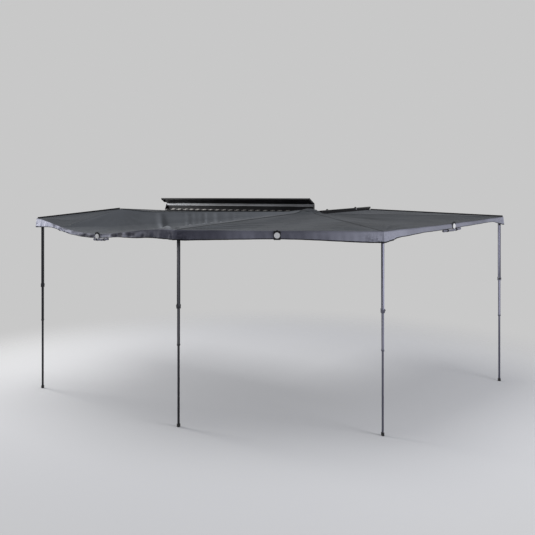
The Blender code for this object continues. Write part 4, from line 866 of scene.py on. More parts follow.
def gore_rows(
    left, right, edge, depth, fans, lightness, seed, across, out_power=2.0, hem=None, bare=0, extra=None
):
    """Rows of points of a gore, from the hub outwards, then down its valance.

    The fans are the folds at the left and the right corner. The hem is the valance's three
    directions, a rule for its height and the place of its tab. The second result is the painted
    light of each point: a given lightness for the whole gore, painted highlight on the folds' ridges and
    painted shade in their valleys.
    The first bare columns have no valance, and extra is a rule for further folds.
    """
    rows, painted_light_grid = [], []
    corner_left, corner_right = edge(0.0), edge(1.0)
    middle = mixed(left(0.0), right(0.0), 0.5)
    side_way = (corner_right - corner_left).normalized() * 0.8
    in_left = middle - corner_left + side_way
    in_right = middle - corner_right - side_way
    for j in range(ALONG + 1):
        out = j / ALONG
        row, painted_light_row = [], []
        for i in range(across + 1):
            share = i / across
            flat = mixed(left(out), right(out), share)
            base = flat + (edge(share) - mixed(left(1.0), right(1.0), share)) * out**out_power
            off_arm = min(share, 1 - share) * (right(out) - left(out)).length
            free = smooth(off_arm, 0.012, 0.100)
            sag = depth * math.sin(math.pi * share) ** 1.5 * math.sin(math.pi * out)
            swell = fan_folds(base, corner_left, in_left, fans[0], seed)
            from_right = fan_folds(base, corner_right, in_right, fans[1], seed + 1.7)
            near_own = swell * (1 - smooth(share, 0.1, 0.5))
            near_own += from_right * smooth(share, 0.35, 0.75)
            swell += from_right
            if extra:
                folded = extra(base)
                swell += folded
                near_own += folded
            # painted highlight and painted shade: the gore's given lightness, raised on fold ridges and
            # lowered in valleys
            painted_light_row.append(lightness + PAINTED_LIGHT_BY_FOLD * near_own * free)
            swell += 0.0020 * math.sin(7 * math.pi * share + seed) * math.sin(math.pi * out) ** 2
            swell += 0.0050 * crumple(base, 3.2, seed) + 0.0024 * crumple(base, 9.0, seed + 4)
            swell += 0.0014 * ridged(base, 13.0, seed + 9) * smooth(out, 0.05, 0.3)
            at_edge = 1 - 0.75 * smooth(out, 0.93, 1.0)
            row.append(base + Vector((0, 0, swell * free * at_edge - sag)))
        rows.append(row)
        painted_light_grid.append(painted_light_row)
    if hem:
        ways, high_at, tab_at = hem
        for step in range(1, HEM_ROWS + 1):
            drop = step / HEM_ROWS
            row = [None] * bare
            for i in range(bare, across + 1):
                at, top = (i - bare) / (across - bare), rows[ALONG][i]
                row.append(
                    valance_point(top, at, drop, high_at(at), ways, VALANCE_FOLDS, seed, tab_at)
                )
            rows.append(row)
    return rows, painted_light_grid


print("gore rule ready")

# %% [markdown]
# ## The six cuts of cloth
# The first gore hangs from the case's bright rail by a black flap. The second meets a three-sided
# piece over the folding extension, so its outer edge has a corner of its own. The last one ends
# at the rear rail in a straight edge.

# %% Edges of the gores
RAIL_Z = 0.030
RAIL_BEAD_Y = -0.0412
RAIL_MOUTH = Vector((0.0, RAIL_BEAD_Y, RAIL_Z - 0.0068))
RAIL_NEAR = RAIL_MOUTH + Vector((HUB.x - 0.120, 0.0, 0.0))
RAIL_FAR = RAIL_MOUTH + Vector((-1.145, 0.0, 0.0))
UNDER_RAIL = Vector((0.0, -0.010, -0.012))
FLAP_STEPS = 3
SEAM_END = mixed(CORNER[1], CORNER[2], CORNER_SHARE)
SEAM_END.z -= edge_sag("b", CORNER_SHARE)


def sagging_edge(start, end, letter=None):
    def at(share):
        sag = edge_sag(letter, share) if letter else 0.0
        return mixed(start, end, share) - Vector((0, 0, sag))

    return at


def first_side(chord_share):
    place = mixed(CORNER[1], CORNER[2], chord_share)
    return place - Vector((0, 0, edge_sag("b", chord_share)))


def side_front_edge(share):
    if share < KNEE:
        return mixed(ELBOW_TOP, SEAM_END, share / KNEE)
    return first_side(CORNER_SHARE + (1 - CORNER_SHARE) * (share - KNEE) / (1 - KNEE))


def painted_light_between(start, end, steps, blotch=0.0):
    """A rule for how much painted lamp light a valance gets along its side, from evenly spaced steps.

    Blotches make it uneven in spots of a few centimetres.
    """
    chord = end - start

    def at(place):
        share = min(0.9999, max(0.0, (place - start).dot(chord) / chord.length_squared))
        at_step = share * (len(steps) - 1)
        low = int(at_step)
        even = steps[low] + (steps[low + 1] - steps[low]) * smooth(at_step - low, 0.0, 1.0)
        spot = noise.noise(Vector((place.x * 13.0, place.y * 13.0, place.z * 26.0)))
        return even + blotch * spot * (1.0 - smooth(share, 0.60, 0.95))

    return at


def straight_line(start, end):
    return lambda out: mixed(start, end, out)


def ways_between(n, m):
    return (
        level_way(HUB_AT[n], CORNER[n]),
        outward_of(CORNER[n], CORNER[m]),
        level_way(HUB_AT[m], CORNER[m]),
    )


# %% Front gore, from the case's rail to the first arm
rail_line = straight_line(RAIL_NEAR + UNDER_RAIL, RAIL_FAR + UNDER_RAIL)
right_line = arm_line(1, SEAM)
# the gore's lightness here is painted light
rows, painted_light_grid = gore_rows(
    rail_line, right_line, sagging_edge(rail_line(1.0), right_line(1.0)),
    depth=0.020, fans=((0.004, 0.9, 9), (0.004, 0.8, 9)), lightness=0.10, seed=1.1, across=90,
)
for j, row in enumerate(rows):
    mouth = mixed(RAIL_NEAR, RAIL_FAR, j / ALONG)
    rows[j] = [mixed(mouth, row[0], step / FLAP_STEPS) for step in range(FLAP_STEPS)] + row
canopy_front = sheet_object("canopy_front", rows, flap=FLAP_STEPS, painted_light_grid=painted_light_grid)
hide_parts("canopy_front_gore")

# %% Side gore beside the extension
OUTWARD_B = outward_of(CORNER[1], CORNER[2])
SEAM_WAY = level_way(CORNER[2], HUB_AT[2])
FOLD_WAY = Vector((math.cos(math.radians(132)), math.sin(math.radians(132)), 0.0))
# painted lamp light on the first valance: near white at the first corner, darker towards the second
FRONT_PAINTED_LIGHT = painted_light_between(CORNER[1], CORNER[2], (1.25, 0.38, 0.14, 0.12, 0.04), 0.55)
SIDE_ACROSS = 160
# the gore's lightness here is painted light
rows, painted_light_grid = gore_rows(
    arm_line(1, -SEAM), arm_line(2, SEAM), side_front_edge,
    depth=0.035, fans=((0.0035, 0.9, 9), (0.010, 1.9, 21)), lightness=0.24, seed=2.3,
    across=SIDE_ACROSS, out_power=1.5,
    hem=(
        (OUTWARD_B, OUTWARD_B, level_way(HUB_AT[2], CORNER[2])),
        lambda share: valance_high("b", CORNER_SHARE + (1 - CORNER_SHARE) * share),
        (TAB_SHARE["b"] - CORNER_SHARE) / (1 - CORNER_SHARE),
    ),
    bare=round(KNEE * SIDE_ACROSS),
    extra=lambda point: seam_folds(point, CORNER[2], SEAM_WAY, FOLD_WAY, 2.9),
)
canopy_side_front = sheet_object(
    "canopy_side_front", rows, ALONG, ALONG + HEM_ROWS - 1, tone=FRONT_PAINTED_LIGHT, painted_light_grid=painted_light_grid
)
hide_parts("canopy_side_gore_front")


# %% Three-sided piece over the extension
def corner_rows(across, along, seed):
    rows = []
    shift = level_way(ELBOW_TOP, CORNER[1]) * 2 * SEAM
    for j in range(along + 1):
        out = j / along
        row = []
        for i in range(across + 1):
            share = i / across
            flat = mixed(
                mixed(EXT_ROOT, CORNER[1], out),
                mixed(ELBOW_TOP + shift, SEAM_END + shift, out),
                share,
            )
            lean = first_side(CORNER_SHARE * share) + shift * share
            lean -= mixed(CORNER[1], SEAM_END + shift, share)
            base = flat + lean * out**2
            free = smooth(share * out * 0.9, 0.02, 0.15) * (1 - smooth(share, 0.93, 1.0))
            swell = fan_folds(base, CORNER[1], ELBOW_TOP - CORNER[1], (0.008, 0.9, 13), seed)
            swell += 0.004 * crumple(base, 5.0, seed)
            row.append(base + Vector((0, 0, swell * free)))
        rows.append(row)
    ways = (level_way(EXT_ROOT, CORNER[1]), OUTWARD_B, OUTWARD_B)
    for step in range(1, HEM_ROWS + 1):
        drop = step / HEM_ROWS
        row = []
        for i in range(across + 1):
            high = valance_high("b", CORNER_SHARE * i / across)
            row.append(valance_point(rows[along][i], i / across, drop, high, ways, 4, seed))
        rows.append(row)
    return rows


CORNER_ACROSS, CORNER_ALONG = 60, 70
rows = corner_rows(CORNER_ACROSS, CORNER_ALONG, 3.9)
# painted light: one even painted lightness over the whole corner piece
painted_light_grid = [[PAINTED_LIGHT_BASE] * (CORNER_ACROSS + 1)] * (CORNER_ALONG + 1)
canopy_corner_front = sheet_object(
    "canopy_corner_front", rows, CORNER_ALONG, CORNER_ALONG + HEM_ROWS - 1, tone=FRONT_PAINTED_LIGHT,
    painted_light_grid=painted_light_grid,
)
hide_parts("canopy_corner_piece")

# %% Gores between the second, third and fourth arms
# each gore's first arm, seed, painted lightness of the whole gore, and the folds at its corners
GORE_FOLDS = {
    "c": (2, 4.4, 0.06, ((0.012, 1.3, 20), (0.007, 1.0, 18))),
    "d": (3, 5.2, 0.0, ((0.007, 1.0, 16), (0.006, 1.0, 14))),
}
# painted lamp light along the valances of c and d, from their first corner to their second
GORE_PAINTED_LIGHT = {"c": (0.01, 0.04, 0.06, 0.19, 0.30), "d": (0.32, 0.20, 0.25, 0.20, 0.34)}
GORE_NAMES = {
    "c": ("canopy_side_rear", "canopy_side_gore_rear"),
    "d": ("canopy_corner_rear", "canopy_corner_gore"),
}
gores = {}
for letter, (first, seed, lightness, fans) in GORE_FOLDS.items():
    left_line = arm_line(first, -SEAM)
    right_line = arm_line(first + 1, SEAM)
    rows, painted_light_grid = gore_rows(
        left_line, right_line, sagging_edge(left_line(1.0), right_line(1.0), letter),
        depth=0.030, fans=fans, lightness=lightness, seed=seed, across=170,
        hem=(
            ways_between(first, first + 1),
            lambda share, name=letter: valance_high(name, share),
            TAB_SHARE[letter],
        ),
    )
    name, node = GORE_NAMES[letter]
    gores[letter] = sheet_object(
        name, rows, ALONG, ALONG + HEM_ROWS - 1,
        tone=painted_light_between(CORNER[first], CORNER[first + 1], GORE_PAINTED_LIGHT[letter]), painted_light_grid=painted_light_grid,
    )
    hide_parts(node)
canopy_side_rear, canopy_corner_rear = gores["c"], gores["d"]

# %% Last gore, from the fourth arm to the rear rail
REAR_RAIL_X = 1.191
FLAP_RISES = (0.012, 0.024)
rail_start = Vector((REAR_RAIL_X + 0.040, 0.060, 0.001))
rail_end = Vector((REAR_RAIL_X, 1.400, 0.028))
left_line = arm_line(4, -SEAM)
# the gore's lightness here is painted light
rows, painted_light_grid = gore_rows(
    left_line, straight_line(rail_start, rail_end), sagging_edge(left_line(1.0), rail_end),
    depth=0.020, fans=((0.005, 0.8, 9), (0.003, 0.6, 9)), lightness=0.10, seed=6.1, across=100,
)
for row in rows:
    for rise in FLAP_RISES:
        row.append(row[-1] + Vector((0.0, 0.0, rise)))
canopy_rear = sheet_object(
    "canopy_rear", rows, lip_from=ALONG - 1, flap=-len(FLAP_RISES), painted_light_grid=painted_light_grid
)
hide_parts("canopy_rear_gore")
print("six cuts of cloth")

# %% [markdown]
# ## Which arm the cloth follows
# A gore is held by two arms, so it bends between their bodies when one swings. The blend runs
# across the gore at two thirds of the way out. The last gore leaves the rear rail when the fourth
# arm folds, so it goes with that arm.

# %% Blends and rides
ARM_LINE = {n: arm_line(n) for n in (1, 2, 3, 4)}
TWO_THIRDS = 0.66


def close_with_last_arm(piece):
    """Rides the fourth arm."""
    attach(piece, "arm_4")
    tuple(ARM_LINE[4](0.5))
    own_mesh(piece)


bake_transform(canopy_front, "case", "arm_1", rail_line(TWO_THIRDS), ARM_LINE[1](TWO_THIRDS))
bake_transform(canopy_side_front, "arm_1", "arm_2", ARM_LINE[1](TWO_THIRDS), ARM_LINE[2](TWO_THIRDS))
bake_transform(canopy_side_rear, "arm_2", "arm_3", ARM_LINE[2](TWO_THIRDS), ARM_LINE[3](TWO_THIRDS))
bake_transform(canopy_corner_rear, "arm_3", "arm_4", ARM_LINE[3](TWO_THIRDS), ARM_LINE[4](TWO_THIRDS))
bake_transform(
    canopy_corner_front, "arm_1", "extension",
    mixed(ELBOW_TOP, SEAM_END, TWO_THIRDS), mixed(EXT_ROOT, CORNER[1], TWO_THIRDS),
)
close_with_last_arm(canopy_rear)

# %% [markdown]
# ## Bound edges and seams
# The free edges of a canopy carry the load, so each is bound in black tape over a cord. Where two
# gores meet over an arm they are lapped, and a band is sewn along the lap. Both are swept along
# the lines that the gores were cut to.

# %% Tapes and bands swept along a line


def swept(name, points, half_wide, half_high, made_of, sides=8, rough=0.0, seed=0.0):
    """A flattened tube with closed ends along the points, with metre UVs."""
    shape = bmesh.new()
    layer = shape.loops.layers.uv.new("metres")
    rings, along = [], [0.0]
    for n, point in enumerate(points):
        ahead = points[min(n + 1, len(points) - 1)] - points[max(n - 1, 0)]
        aside = ahead.cross(Vector((0, 0, 1))).normalized()
        upward = aside.cross(ahead).normalized()
        if n:
            along.append(along[-1] + (point - points[n - 1]).length)
        ring = []
        for k in range(sides):
            turn = 2 * math.pi * k / sides
            grow = 1 + rough * crumple(Vector((n * 0.4, k * 0.9, 0)), 1.0, seed)
            reach = aside * math.cos(turn) * half_wide + upward * math.sin(turn) * half_high
            ring.append(shape.verts.new(point + reach * grow))
        rings.append(ring)
    girth = 2 * math.pi * max(half_wide, half_high) / sides
    for n in range(len(rings) - 1):
        for k in range(sides):
            near, far = rings[n], rings[n + 1]
            face = shape.faces.new((near[k], near[(k + 1) % sides], far[(k + 1) % sides], far[k]))
            places = ((n, k), (n, k + 1), (n + 1, k + 1), (n + 1, k))
            for loop, (a, b) in zip(face.loops, places):
                loop[layer].uv = (along[a], b * girth)
    shape.faces.new(rings[0])
    shape.faces.new(reversed(rings[-1]))
    bmesh.ops.recalc_face_normals(shape, faces=shape.faces)
    made = placed(name, mesh_of(name, shape, made_of))
    made.data.shade_smooth()
    made.data.set_sharp_from_angle(angle=math.radians(50))
    return made


def sampled(line, count, start=0.0, end=1.0, lift=0.0):
    raised_by = Vector((0, 0, lift))
    return [line(start + (end - start) * n / count) + raised_by for n in range(count + 1)]


front_edge = straight_line(rail_line(1.0), ELBOW_TOP)
extension_edge = straight_line(EXT_ROOT, CORNER[1])
rear_edge = straight_line(CORNER[4], rail_end)
tape_front = swept("edge_tape_front", sampled(front_edge, 24, 0.01, 1.0), 0.004, 0.007, WEBBING)
tape_extension = swept(
    "edge_tape_extension", sampled(extension_edge, 12, -0.03, 0.985, 0.002), 0.005, 0.011, WEBBING
)
tape_rear = swept(
    "edge_tape_rear", sampled(rear_edge, 24, 0.005, 0.995, 0.002), 0.006, 0.012, WEBBING
)
seam_bands = {}
for n in (1, 2, 3, 4):
    lap = sampled(ARM_LINE[n], 60, 0.03, 0.985, 0.0022)
    seam_bands[n] = swept(f"seam_band_{n}", lap, 0.010, 0.0010, CANOPY_CLOTH)
print("tapes and bands", 3 + len(seam_bands))

# %% [markdown]
# ## The crown over the hub
# A round patch covers the hub, where all the gores meet. It is laid over them: each of its points
# is dropped from above on to the gore below it, so it follows the crown's own hump.

# %% Crown patch
CROWN_R = 0.112
CROWN_R_CASE = 0.050
CROWN_HUMP = 0.015
CROWN_RINGS = 12
CROWN_TURNS = 56
GORES = (canopy_front, canopy_side_front, canopy_side_rear, canopy_corner_rear, canopy_rear)


def on_gores(x, y):
    """The cloth's height under a point, or none."""
    best = None
    for gore in GORES:
        hit, place, _, _ = gore.ray_cast(Vector((x, y, 1.0)), Vector((0, 0, -1)))
        if hit and (best is None or place.z > best):
            best = place.z
    return best


def crown_patch():
    """The patch, and the ring of points that its stitches follow."""
    shape = bmesh.new()
    layer = shape.loops.layers.uv.new("metres")
    bpy.context.view_layer.update()
    case_way = math.radians(116)
    rings = []
    for ring_no in range(CROWN_RINGS + 1):
        ring = []
        for turn_no in range(CROWN_TURNS):
            turn = 2 * math.pi * turn_no / CROWN_TURNS
            near_case = 0.5 + 0.5 * math.cos(turn - case_way)
            full = mixed(CROWN_R, CROWN_R_CASE, smooth(near_case, 0.45, 0.85))
            reach = full * ring_no / CROWN_RINGS
            x, y = HUB.x + reach * math.cos(turn), HUB.y + reach * math.sin(turn)
            share = reach / HUB_R
            hump = CROWN_HUMP * (1 - smooth(share, 0.1, 1.2))
            dome = HUB_Z + 0.004 - 0.003 * share**2 + hump
            under = on_gores(x, y) if reach > HUB_R * 0.7 else None
            z = dome if under is None else max(under + 0.0016, min(dome, under + 0.004 + hump))
            z += 0.0012 * math.sin(9 * turn) * min(1.0, share)
            ring.append(shape.verts.new((x, y, z)))
            if ring_no == 0:
                break
        rings.append(ring)
    for near, far in zip(rings, rings[1:]):
        for k in range(CROWN_TURNS):
            nxt = (k + 1) % CROWN_TURNS
            if len(near) == 1:
                ring = (near[0], far[k], far[nxt])
            else:
                ring = (near[k], far[k], far[nxt], near[nxt])
            face = shape.faces.new(ring)
            for loop in face.loops:
                loop[layer].uv = (loop.vert.co.x, loop.vert.co.y)
    bmesh.ops.recalc_face_normals(shape, faces=shape.faces)
    if sum(face.normal.z for face in shape.faces) < 0:
        bmesh.ops.reverse_faces(shape, faces=shape.faces)
    rim = [vert.co.copy() for vert in rings[-2]]
    obj = placed("crown_patch", mesh_of("crown_patch", shape, CANOPY_CLOTH))
    wall = obj.modifiers.new("cloth", "SOLIDIFY")
    wall.thickness = CLOTH_THICK
    made = plain(obj)
    made.data.shade_smooth()
    return made, rim


crown, crown_rim = crown_patch()
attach(crown, "case")

# %% [markdown]
# ## Tabs with a plain badge, and rolled straps
# In the middle of each side a webbing tab holds the storage strap. The round badge on it stays
# plain. Two of the straps are rolled up and hang just below the valance.

# %% Strap tabs
TAB_WIDE = 0.066
TAB_HIGH = 0.084
TAB_PEAK = 0.010
TAB_THICK = 0.0026
TAB_OFF = 0.011
TAB_BELOW = {"b": 0.026, "c": 0.042, "d": 0.026}
BADGE_PROFILE = (
    (0.0, 0.0038), (0.012, 0.0037), (0.0195, 0.0034), (0.0212, 0.0026), (0.0225, 0.0036),
    (0.0250, 0.0040), (0.0268, 0.0034), (0.0275, 0.0020), (0.0275, 0.0),
)
SIDES = {
    "b": (1, 2, first_side, canopy_side_front),
    "c": (2, 3, sagging_edge(CORNER[2], CORNER[3], "c"), canopy_side_rear),
    "d": (3, 4, sagging_edge(CORNER[3], CORNER[4], "d"), canopy_corner_rear),
}


def side_frame(letter):
    """The tab's middle and its directions: along the side, out of it and up."""
    first, second, edge, _ = SIDES[letter]
    outward = outward_of(CORNER[first], CORNER[second])
    place = edge(TAB_SHARE[letter]) + outward * TAB_OFF - Vector((0, 0, TAB_BELOW[letter]))
    return Matrix.Translation(place) @ Matrix(
        ((outward.y, outward.x, 0, 0), (-outward.x, outward.y, 0, 0), (0, 0, 1, 0), (0, 0, 0, 1))
    )


def from_profile(name, outline, made_of, thick, edge_width):
    """A flat outline in X and Z, given a wall along Y and a soft edge."""
    shape = bmesh.new()
    face = shape.faces.new([shape.verts.new((x, 0.0, z)) for x, z in outline])
    pushed = bmesh.ops.extrude_face_region(shape, geom=[face])["geom"]
    bmesh.ops.translate(
        shape, verts=[v for v in pushed if isinstance(v, bmesh.types.BMVert)], vec=(0, thick, 0)
    )
    bmesh.ops.recalc_face_normals(shape, faces=shape.faces)
    obj = placed(name, mesh_of(name, shape, made_of))
    bevel = obj.modifiers.new("edge", "BEVEL")
    bevel.width = edge_width
    bevel.segments = 2
    made = plain(obj)
    uv_metres(made.data)
    return made


def badge(name, made_of):
    """A disc with a raised rim, spun from its profile."""
    shape = bmesh.new()
    rim = [shape.verts.new((r, z, 0.0)) for r, z in BADGE_PROFILE]
    edges = [shape.edges.new(pair) for pair in zip(rim, rim[1:])]
    bmesh.ops.spin(
        shape, geom=rim + edges, cent=(0, 0, 0), axis=(0, 1, 0), angle=2 * math.pi, steps=48
    )
    bmesh.ops.remove_doubles(shape, verts=shape.verts, dist=1e-5)
    open_rim = [edge for edge in shape.edges if edge.is_boundary]
    bmesh.ops.holes_fill(shape, edges=open_rim, sides=0)
    bmesh.ops.recalc_face_normals(shape, faces=shape.faces)
    made = placed(name, mesh_of(name, shape, made_of))
    made.data.shade_smooth()
    made.data.set_sharp_from_angle(angle=math.radians(40))
    return made


def rounded_tab():
    """A rounded square with a low peak in the middle of its top."""
    outline = []
    radius = 0.007
    half_x, half_z = TAB_WIDE / 2 - radius, TAB_HIGH / 2 - radius
    for n, (sx, sz) in enumerate(((1, -1), (1, 1), (-1, 1), (-1, -1))):
        for step in range(5):
            turn = math.radians(-90 + n * 90 + step * 22.5)
            outline.append(
                (sx * half_x + radius * math.cos(turn), sz * half_z + radius * math.sin(turn))
            )
        if n == 1:
            outline.append((0.010, TAB_HIGH / 2))
            outline.append((0.0, TAB_HIGH / 2 + TAB_PEAK))
            outline.append((-0.010, TAB_HIGH / 2))
    return outline


def follow_side(piece, letter):
    """The piece bends with the cloth of its side."""
    first, second, _, _ = SIDES[letter]
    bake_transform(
        piece, f"arm_{first}", f"arm_{second}",
        ARM_LINE[first](TWO_THIRDS), ARM_LINE[second](TWO_THIRDS),
    )


for n, letter in enumerate("bcd", 1):
    cloth_tab = from_profile(f"tab_{n}", rounded_tab(), WEBBING, TAB_THICK, 0.0007)
    plain_badge = badge(f"tab_badge_{n}", BADGE_FACE)
    plain_badge.data.transform(Matrix.Translation((0.0, TAB_THICK, 0.0)))
    for piece in (cloth_tab, plain_badge):
        piece.data.transform(side_frame(letter))
        follow_side(piece, letter)
    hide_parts(f"strap_tab_{n}")
print("tabs", n)

# %% Rolled straps below two of the sides
ROLLS = {"b": (0.470, 0.572, 0.013), "d": (0.420, 0.566, 0.012)}
for letter, (from_share, to_share, below) in ROLLS.items():
    first, second, edge, _ = SIDES[letter]
    outward = outward_of(CORNER[first], CORNER[second])
    points = []
    for n in range(25):
        share = mixed(from_share, to_share, n / 24)
        uneven = 0.002 * crumple(Vector((n, 0, 0)), 0.5, 2.0)
        hang = below + 0.004 * math.sin(math.pi * n / 24) + uneven
        drop = valance_high(letter, share) + hang
        points.append(edge(share) + outward * 0.010 - Vector((0, 0, drop)))
    roll = swept(f"strap_roll_{letter}", points, 0.011, 0.012, STRAP_ROLL, 14, 0.35, 3.0)
    ties = [
        swept(
            f"strap_tie_{letter}_{k}",
            [mixed(points[at], points[at + 1], t) for t in (0.0, 0.5, 1.0, 1.5)],
            0.0135, 0.0145, WEBBING, 14,
        )
        for k, at in enumerate((5, 17))
    ]
    for piece in (roll, *ties):
        follow_side(piece, letter)
print("rolled straps", len(ROLLS))

# %% [markdown]
# ## What repeats: stitches, loops and screws
# Stitches follow a seam, loops follow a beam, and screws sit on a pattern of holes. Two Geometry
# Nodes trees make them all: one walks along a path at even steps, and the other stands an item on
# each point and turns it to the way that the point faces.

# %% Two Geometry Nodes trees


def tree_of_items(name, number, axis):
    """A tree that stands an item on points, turns it, and gives the result its finish.

    Its inputs are the item, one number and the finish.
    """
    tree = bpy.data.node_groups.new(name, "GeometryNodeTree")
    for way in ("OUTPUT", "INPUT"):
        tree.interface.new_socket(name="Geometry", in_out=way, socket_type="NodeSocketGeometry")
    sockets = {}
    for label, kind in (("Item", "Object"), (number, "Float"), ("Finish", "Material")):
        kind = "NodeSocket" + kind
        socket = tree.interface.new_socket(name=label, in_out="INPUT", socket_type=kind)
        sockets[label] = socket.identifier
    start = node_of(tree, "NodeGroupInput")
    turn = node_of(tree, "FunctionNodeAlignRotationToVector", axis=axis)
    item = node_of(tree, "GeometryNodeObjectInfo")
    stand = node_of(tree, "GeometryNodeInstanceOnPoints")
    real = node_of(tree, "GeometryNodeRealizeInstances")
    coat = node_of(tree, "GeometryNodeSetMaterial")
    wire(
        tree,
        (start.outputs["Item"], item.inputs["Object"]),
        (item.outputs["Geometry"], stand.inputs["Instance"]),
        (turn.outputs["Rotation"], stand.inputs["Rotation"]),
        (stand.outputs["Instances"], real.inputs["Geometry"]),
        (real.outputs["Geometry"], coat.inputs["Geometry"]),
        (start.outputs["Finish"], coat.inputs["Material"]),
        (coat.outputs["Geometry"], node_of(tree, "NodeGroupOutput").inputs["Geometry"]),
    )
    return tree, sockets, start, turn, stand


def walk_tree():
    """Items along a path, at even steps."""
    tree, sockets, start, turn, stand = tree_of_items("items_along_a_path", "Spacing", "X")
    curve = node_of(tree, "GeometryNodeMeshToCurve")
    steps = node_of(tree, "GeometryNodeResampleCurve", mode="LENGTH")
    tangent = node_of(tree, "GeometryNodeInputTangent")
    wire(
        tree,
        (start.outputs["Geometry"], curve.inputs["Mesh"]),
        (curve.outputs["Curve"], steps.inputs["Curve"]),
        (start.outputs["Spacing"], steps.inputs["Length"]),
        (steps.outputs["Curve"], stand.inputs["Points"]),
        (tangent.outputs["Tangent"], turn.inputs["Vector"]),
    )
    return tree, sockets


def stand_tree():
    """An item on each point, turned to the way that the point faces."""
    tree, sockets, start, turn, stand = tree_of_items("items_on_points", "Scale", "Z")
    facing = node_of(
        tree, "GeometryNodeInputNamedAttribute", {"Name": "facing"}, data_type="FLOAT_VECTOR"
    )
    wire(
        tree,
        (start.outputs["Geometry"], stand.inputs["Points"]),
        (start.outputs["Scale"], stand.inputs["Scale"]),
        (facing.outputs["Attribute"], turn.inputs["Vector"]),
    )
    return tree, sockets


WALK, STAND = walk_tree(), stand_tree()
print("trees", WALK[0].name, STAND[0].name)

# %% A tree run on points, and along lines


def grown(name, verts, edges, tree_and_sockets, values, facing=None):
    """Runs a tree on a plain set of points and keeps the result as one mesh."""
    tree, sockets = tree_and_sockets
    mesh = bpy.data.meshes.new(name)
    mesh.from_pydata([tuple(v) for v in verts], edges, [])
    if facing:
        way = mesh.attributes.new("facing", "FLOAT_VECTOR", "POINT")
        for n, direction in enumerate(facing):
            way.data[n].vector = direction
    obj = placed(name, mesh)
    modifier = obj.modifiers.new("rows", "NODES")
    modifier.node_group = tree
    for label, value in values.items():
        modifier[sockets[label]] = value
    made = plain(obj)
    if "facing" in made.data.attributes:
        made.data.attributes.remove(made.data.attributes["facing"])
    return made


def along_lines(name, lines, item, spacing, made_of):
    """Items along each line, at even steps."""
    verts, edges = [], []
    for line in lines:
        edges += [(len(verts) + n, len(verts) + n + 1) for n in range(len(line) - 1)]
        verts += line
    return grown(name, verts, edges, WALK, {"Item": item, "Spacing": spacing, "Finish": made_of})


print("both kinds of rows ready")

# %% The items: a stitch, a loop, a screw


def item_from(name, shape):
    """The shape as an object, with its faces turned outwards."""
    bmesh.ops.recalc_face_normals(shape, faces=shape.faces)
    return placed(name, mesh_of(name, shape))


def stitch_item(long, thick):
    """A short thread whose ends dip into the cloth."""
    shape = bmesh.new()
    bmesh.ops.create_cube(shape, size=1.0, matrix=Matrix.Diagonal((long, thick, thick, 1.0)))
    for vert in shape.verts:
        vert.co.z -= abs(vert.co.x) * 0.2
    return item_from("stitch", shape)


def loop_item(wide, inner_y, inner_z, thick):
    """A band round a beam, whose long way is X."""
    shape = bmesh.new()
    rings = []
    for grow in (0.0, thick):
        for x in (-wide / 2, wide / 2):
            y, z = inner_y / 2 + grow, inner_z / 2 + grow
            corners = ((-y, -z), (y, -z), (y, z), (-y, z))
            rings.append([shape.verts.new((x, a, b)) for a, b in corners])
    in_near, in_far, out_near, out_far = rings
    for k in range(4):
        m = (k + 1) % 4
        shape.faces.new((in_near[k], in_near[m], in_far[m], in_far[k]))
        shape.faces.new((out_near[k], out_far[k], out_far[m], out_near[m]))
        shape.faces.new((in_near[k], out_near[k], out_near[m], in_near[m]))
        shape.faces.new((in_far[k], in_far[m], out_far[m], out_far[k]))
    return item_from("beam_loop", shape)


def screw_item(radius, high):
    """A button head with a six-sided socket."""
    shape = bmesh.new()
    profile = (
        (radius, 0.0), (radius * 0.96, high * 0.45), (radius * 0.70, high), (radius * 0.42, high)
    )
    rings = []
    for r, z in profile:
        rings.append([
            shape.verts.new((r * math.cos(k * math.pi / 6), r * math.sin(k * math.pi / 6), z))
            for k in range(12)
        ])
    rings.append([shape.verts.new((v.co.x, v.co.y, high * 0.35)) for v in rings[-1]])
    for near, far in zip(rings, rings[1:]):
        for k in range(12):
            m = (k + 1) % 12
            shape.faces.new((near[k], near[m], far[m], far[k]))
    shape.faces.new(rings[-1])
    shape.faces.new(list(reversed(rings[0])))
    return item_from("button_screw", shape)


stitch = stitch_item(0.0048, 0.0011)
beam_loop = loop_item(0.030, BEAM_WIDE + 0.0012, BEAM_HIGH + 0.0012, 0.0014)
screw = screw_item(0.0042, 0.0026)
print("items", stitch.name, beam_loop.name, screw.name)

# %% Stitches along the seams
STITCH_STEP = 0.0085
STITCH_ASIDE = 0.0075
stitch_faces = 0
for n in (1, 2, 3, 4):
    lines = [
        sampled(arm_line(n, aside), 60, 0.035, 0.98, 0.0033)
        for aside in (-STITCH_ASIDE, STITCH_ASIDE)
    ]
    stitches = along_lines(f"seam_stitches_{n}", lines, stitch, STITCH_STEP, THREAD)
    for piece in (seam_bands[n], stitches):
        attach(piece, f"arm_{n}")
    stitch_faces += len(stitches.data.polygons)
crown_ring = [p + Vector((0, 0, 0.0014)) for p in crown_rim + crown_rim[:1]]
crown_stitches = along_lines("crown_stitches", [crown_ring], stitch, STITCH_STEP, THREAD)
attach(crown_stitches, "case")
print("stitch faces", stitch_faces)

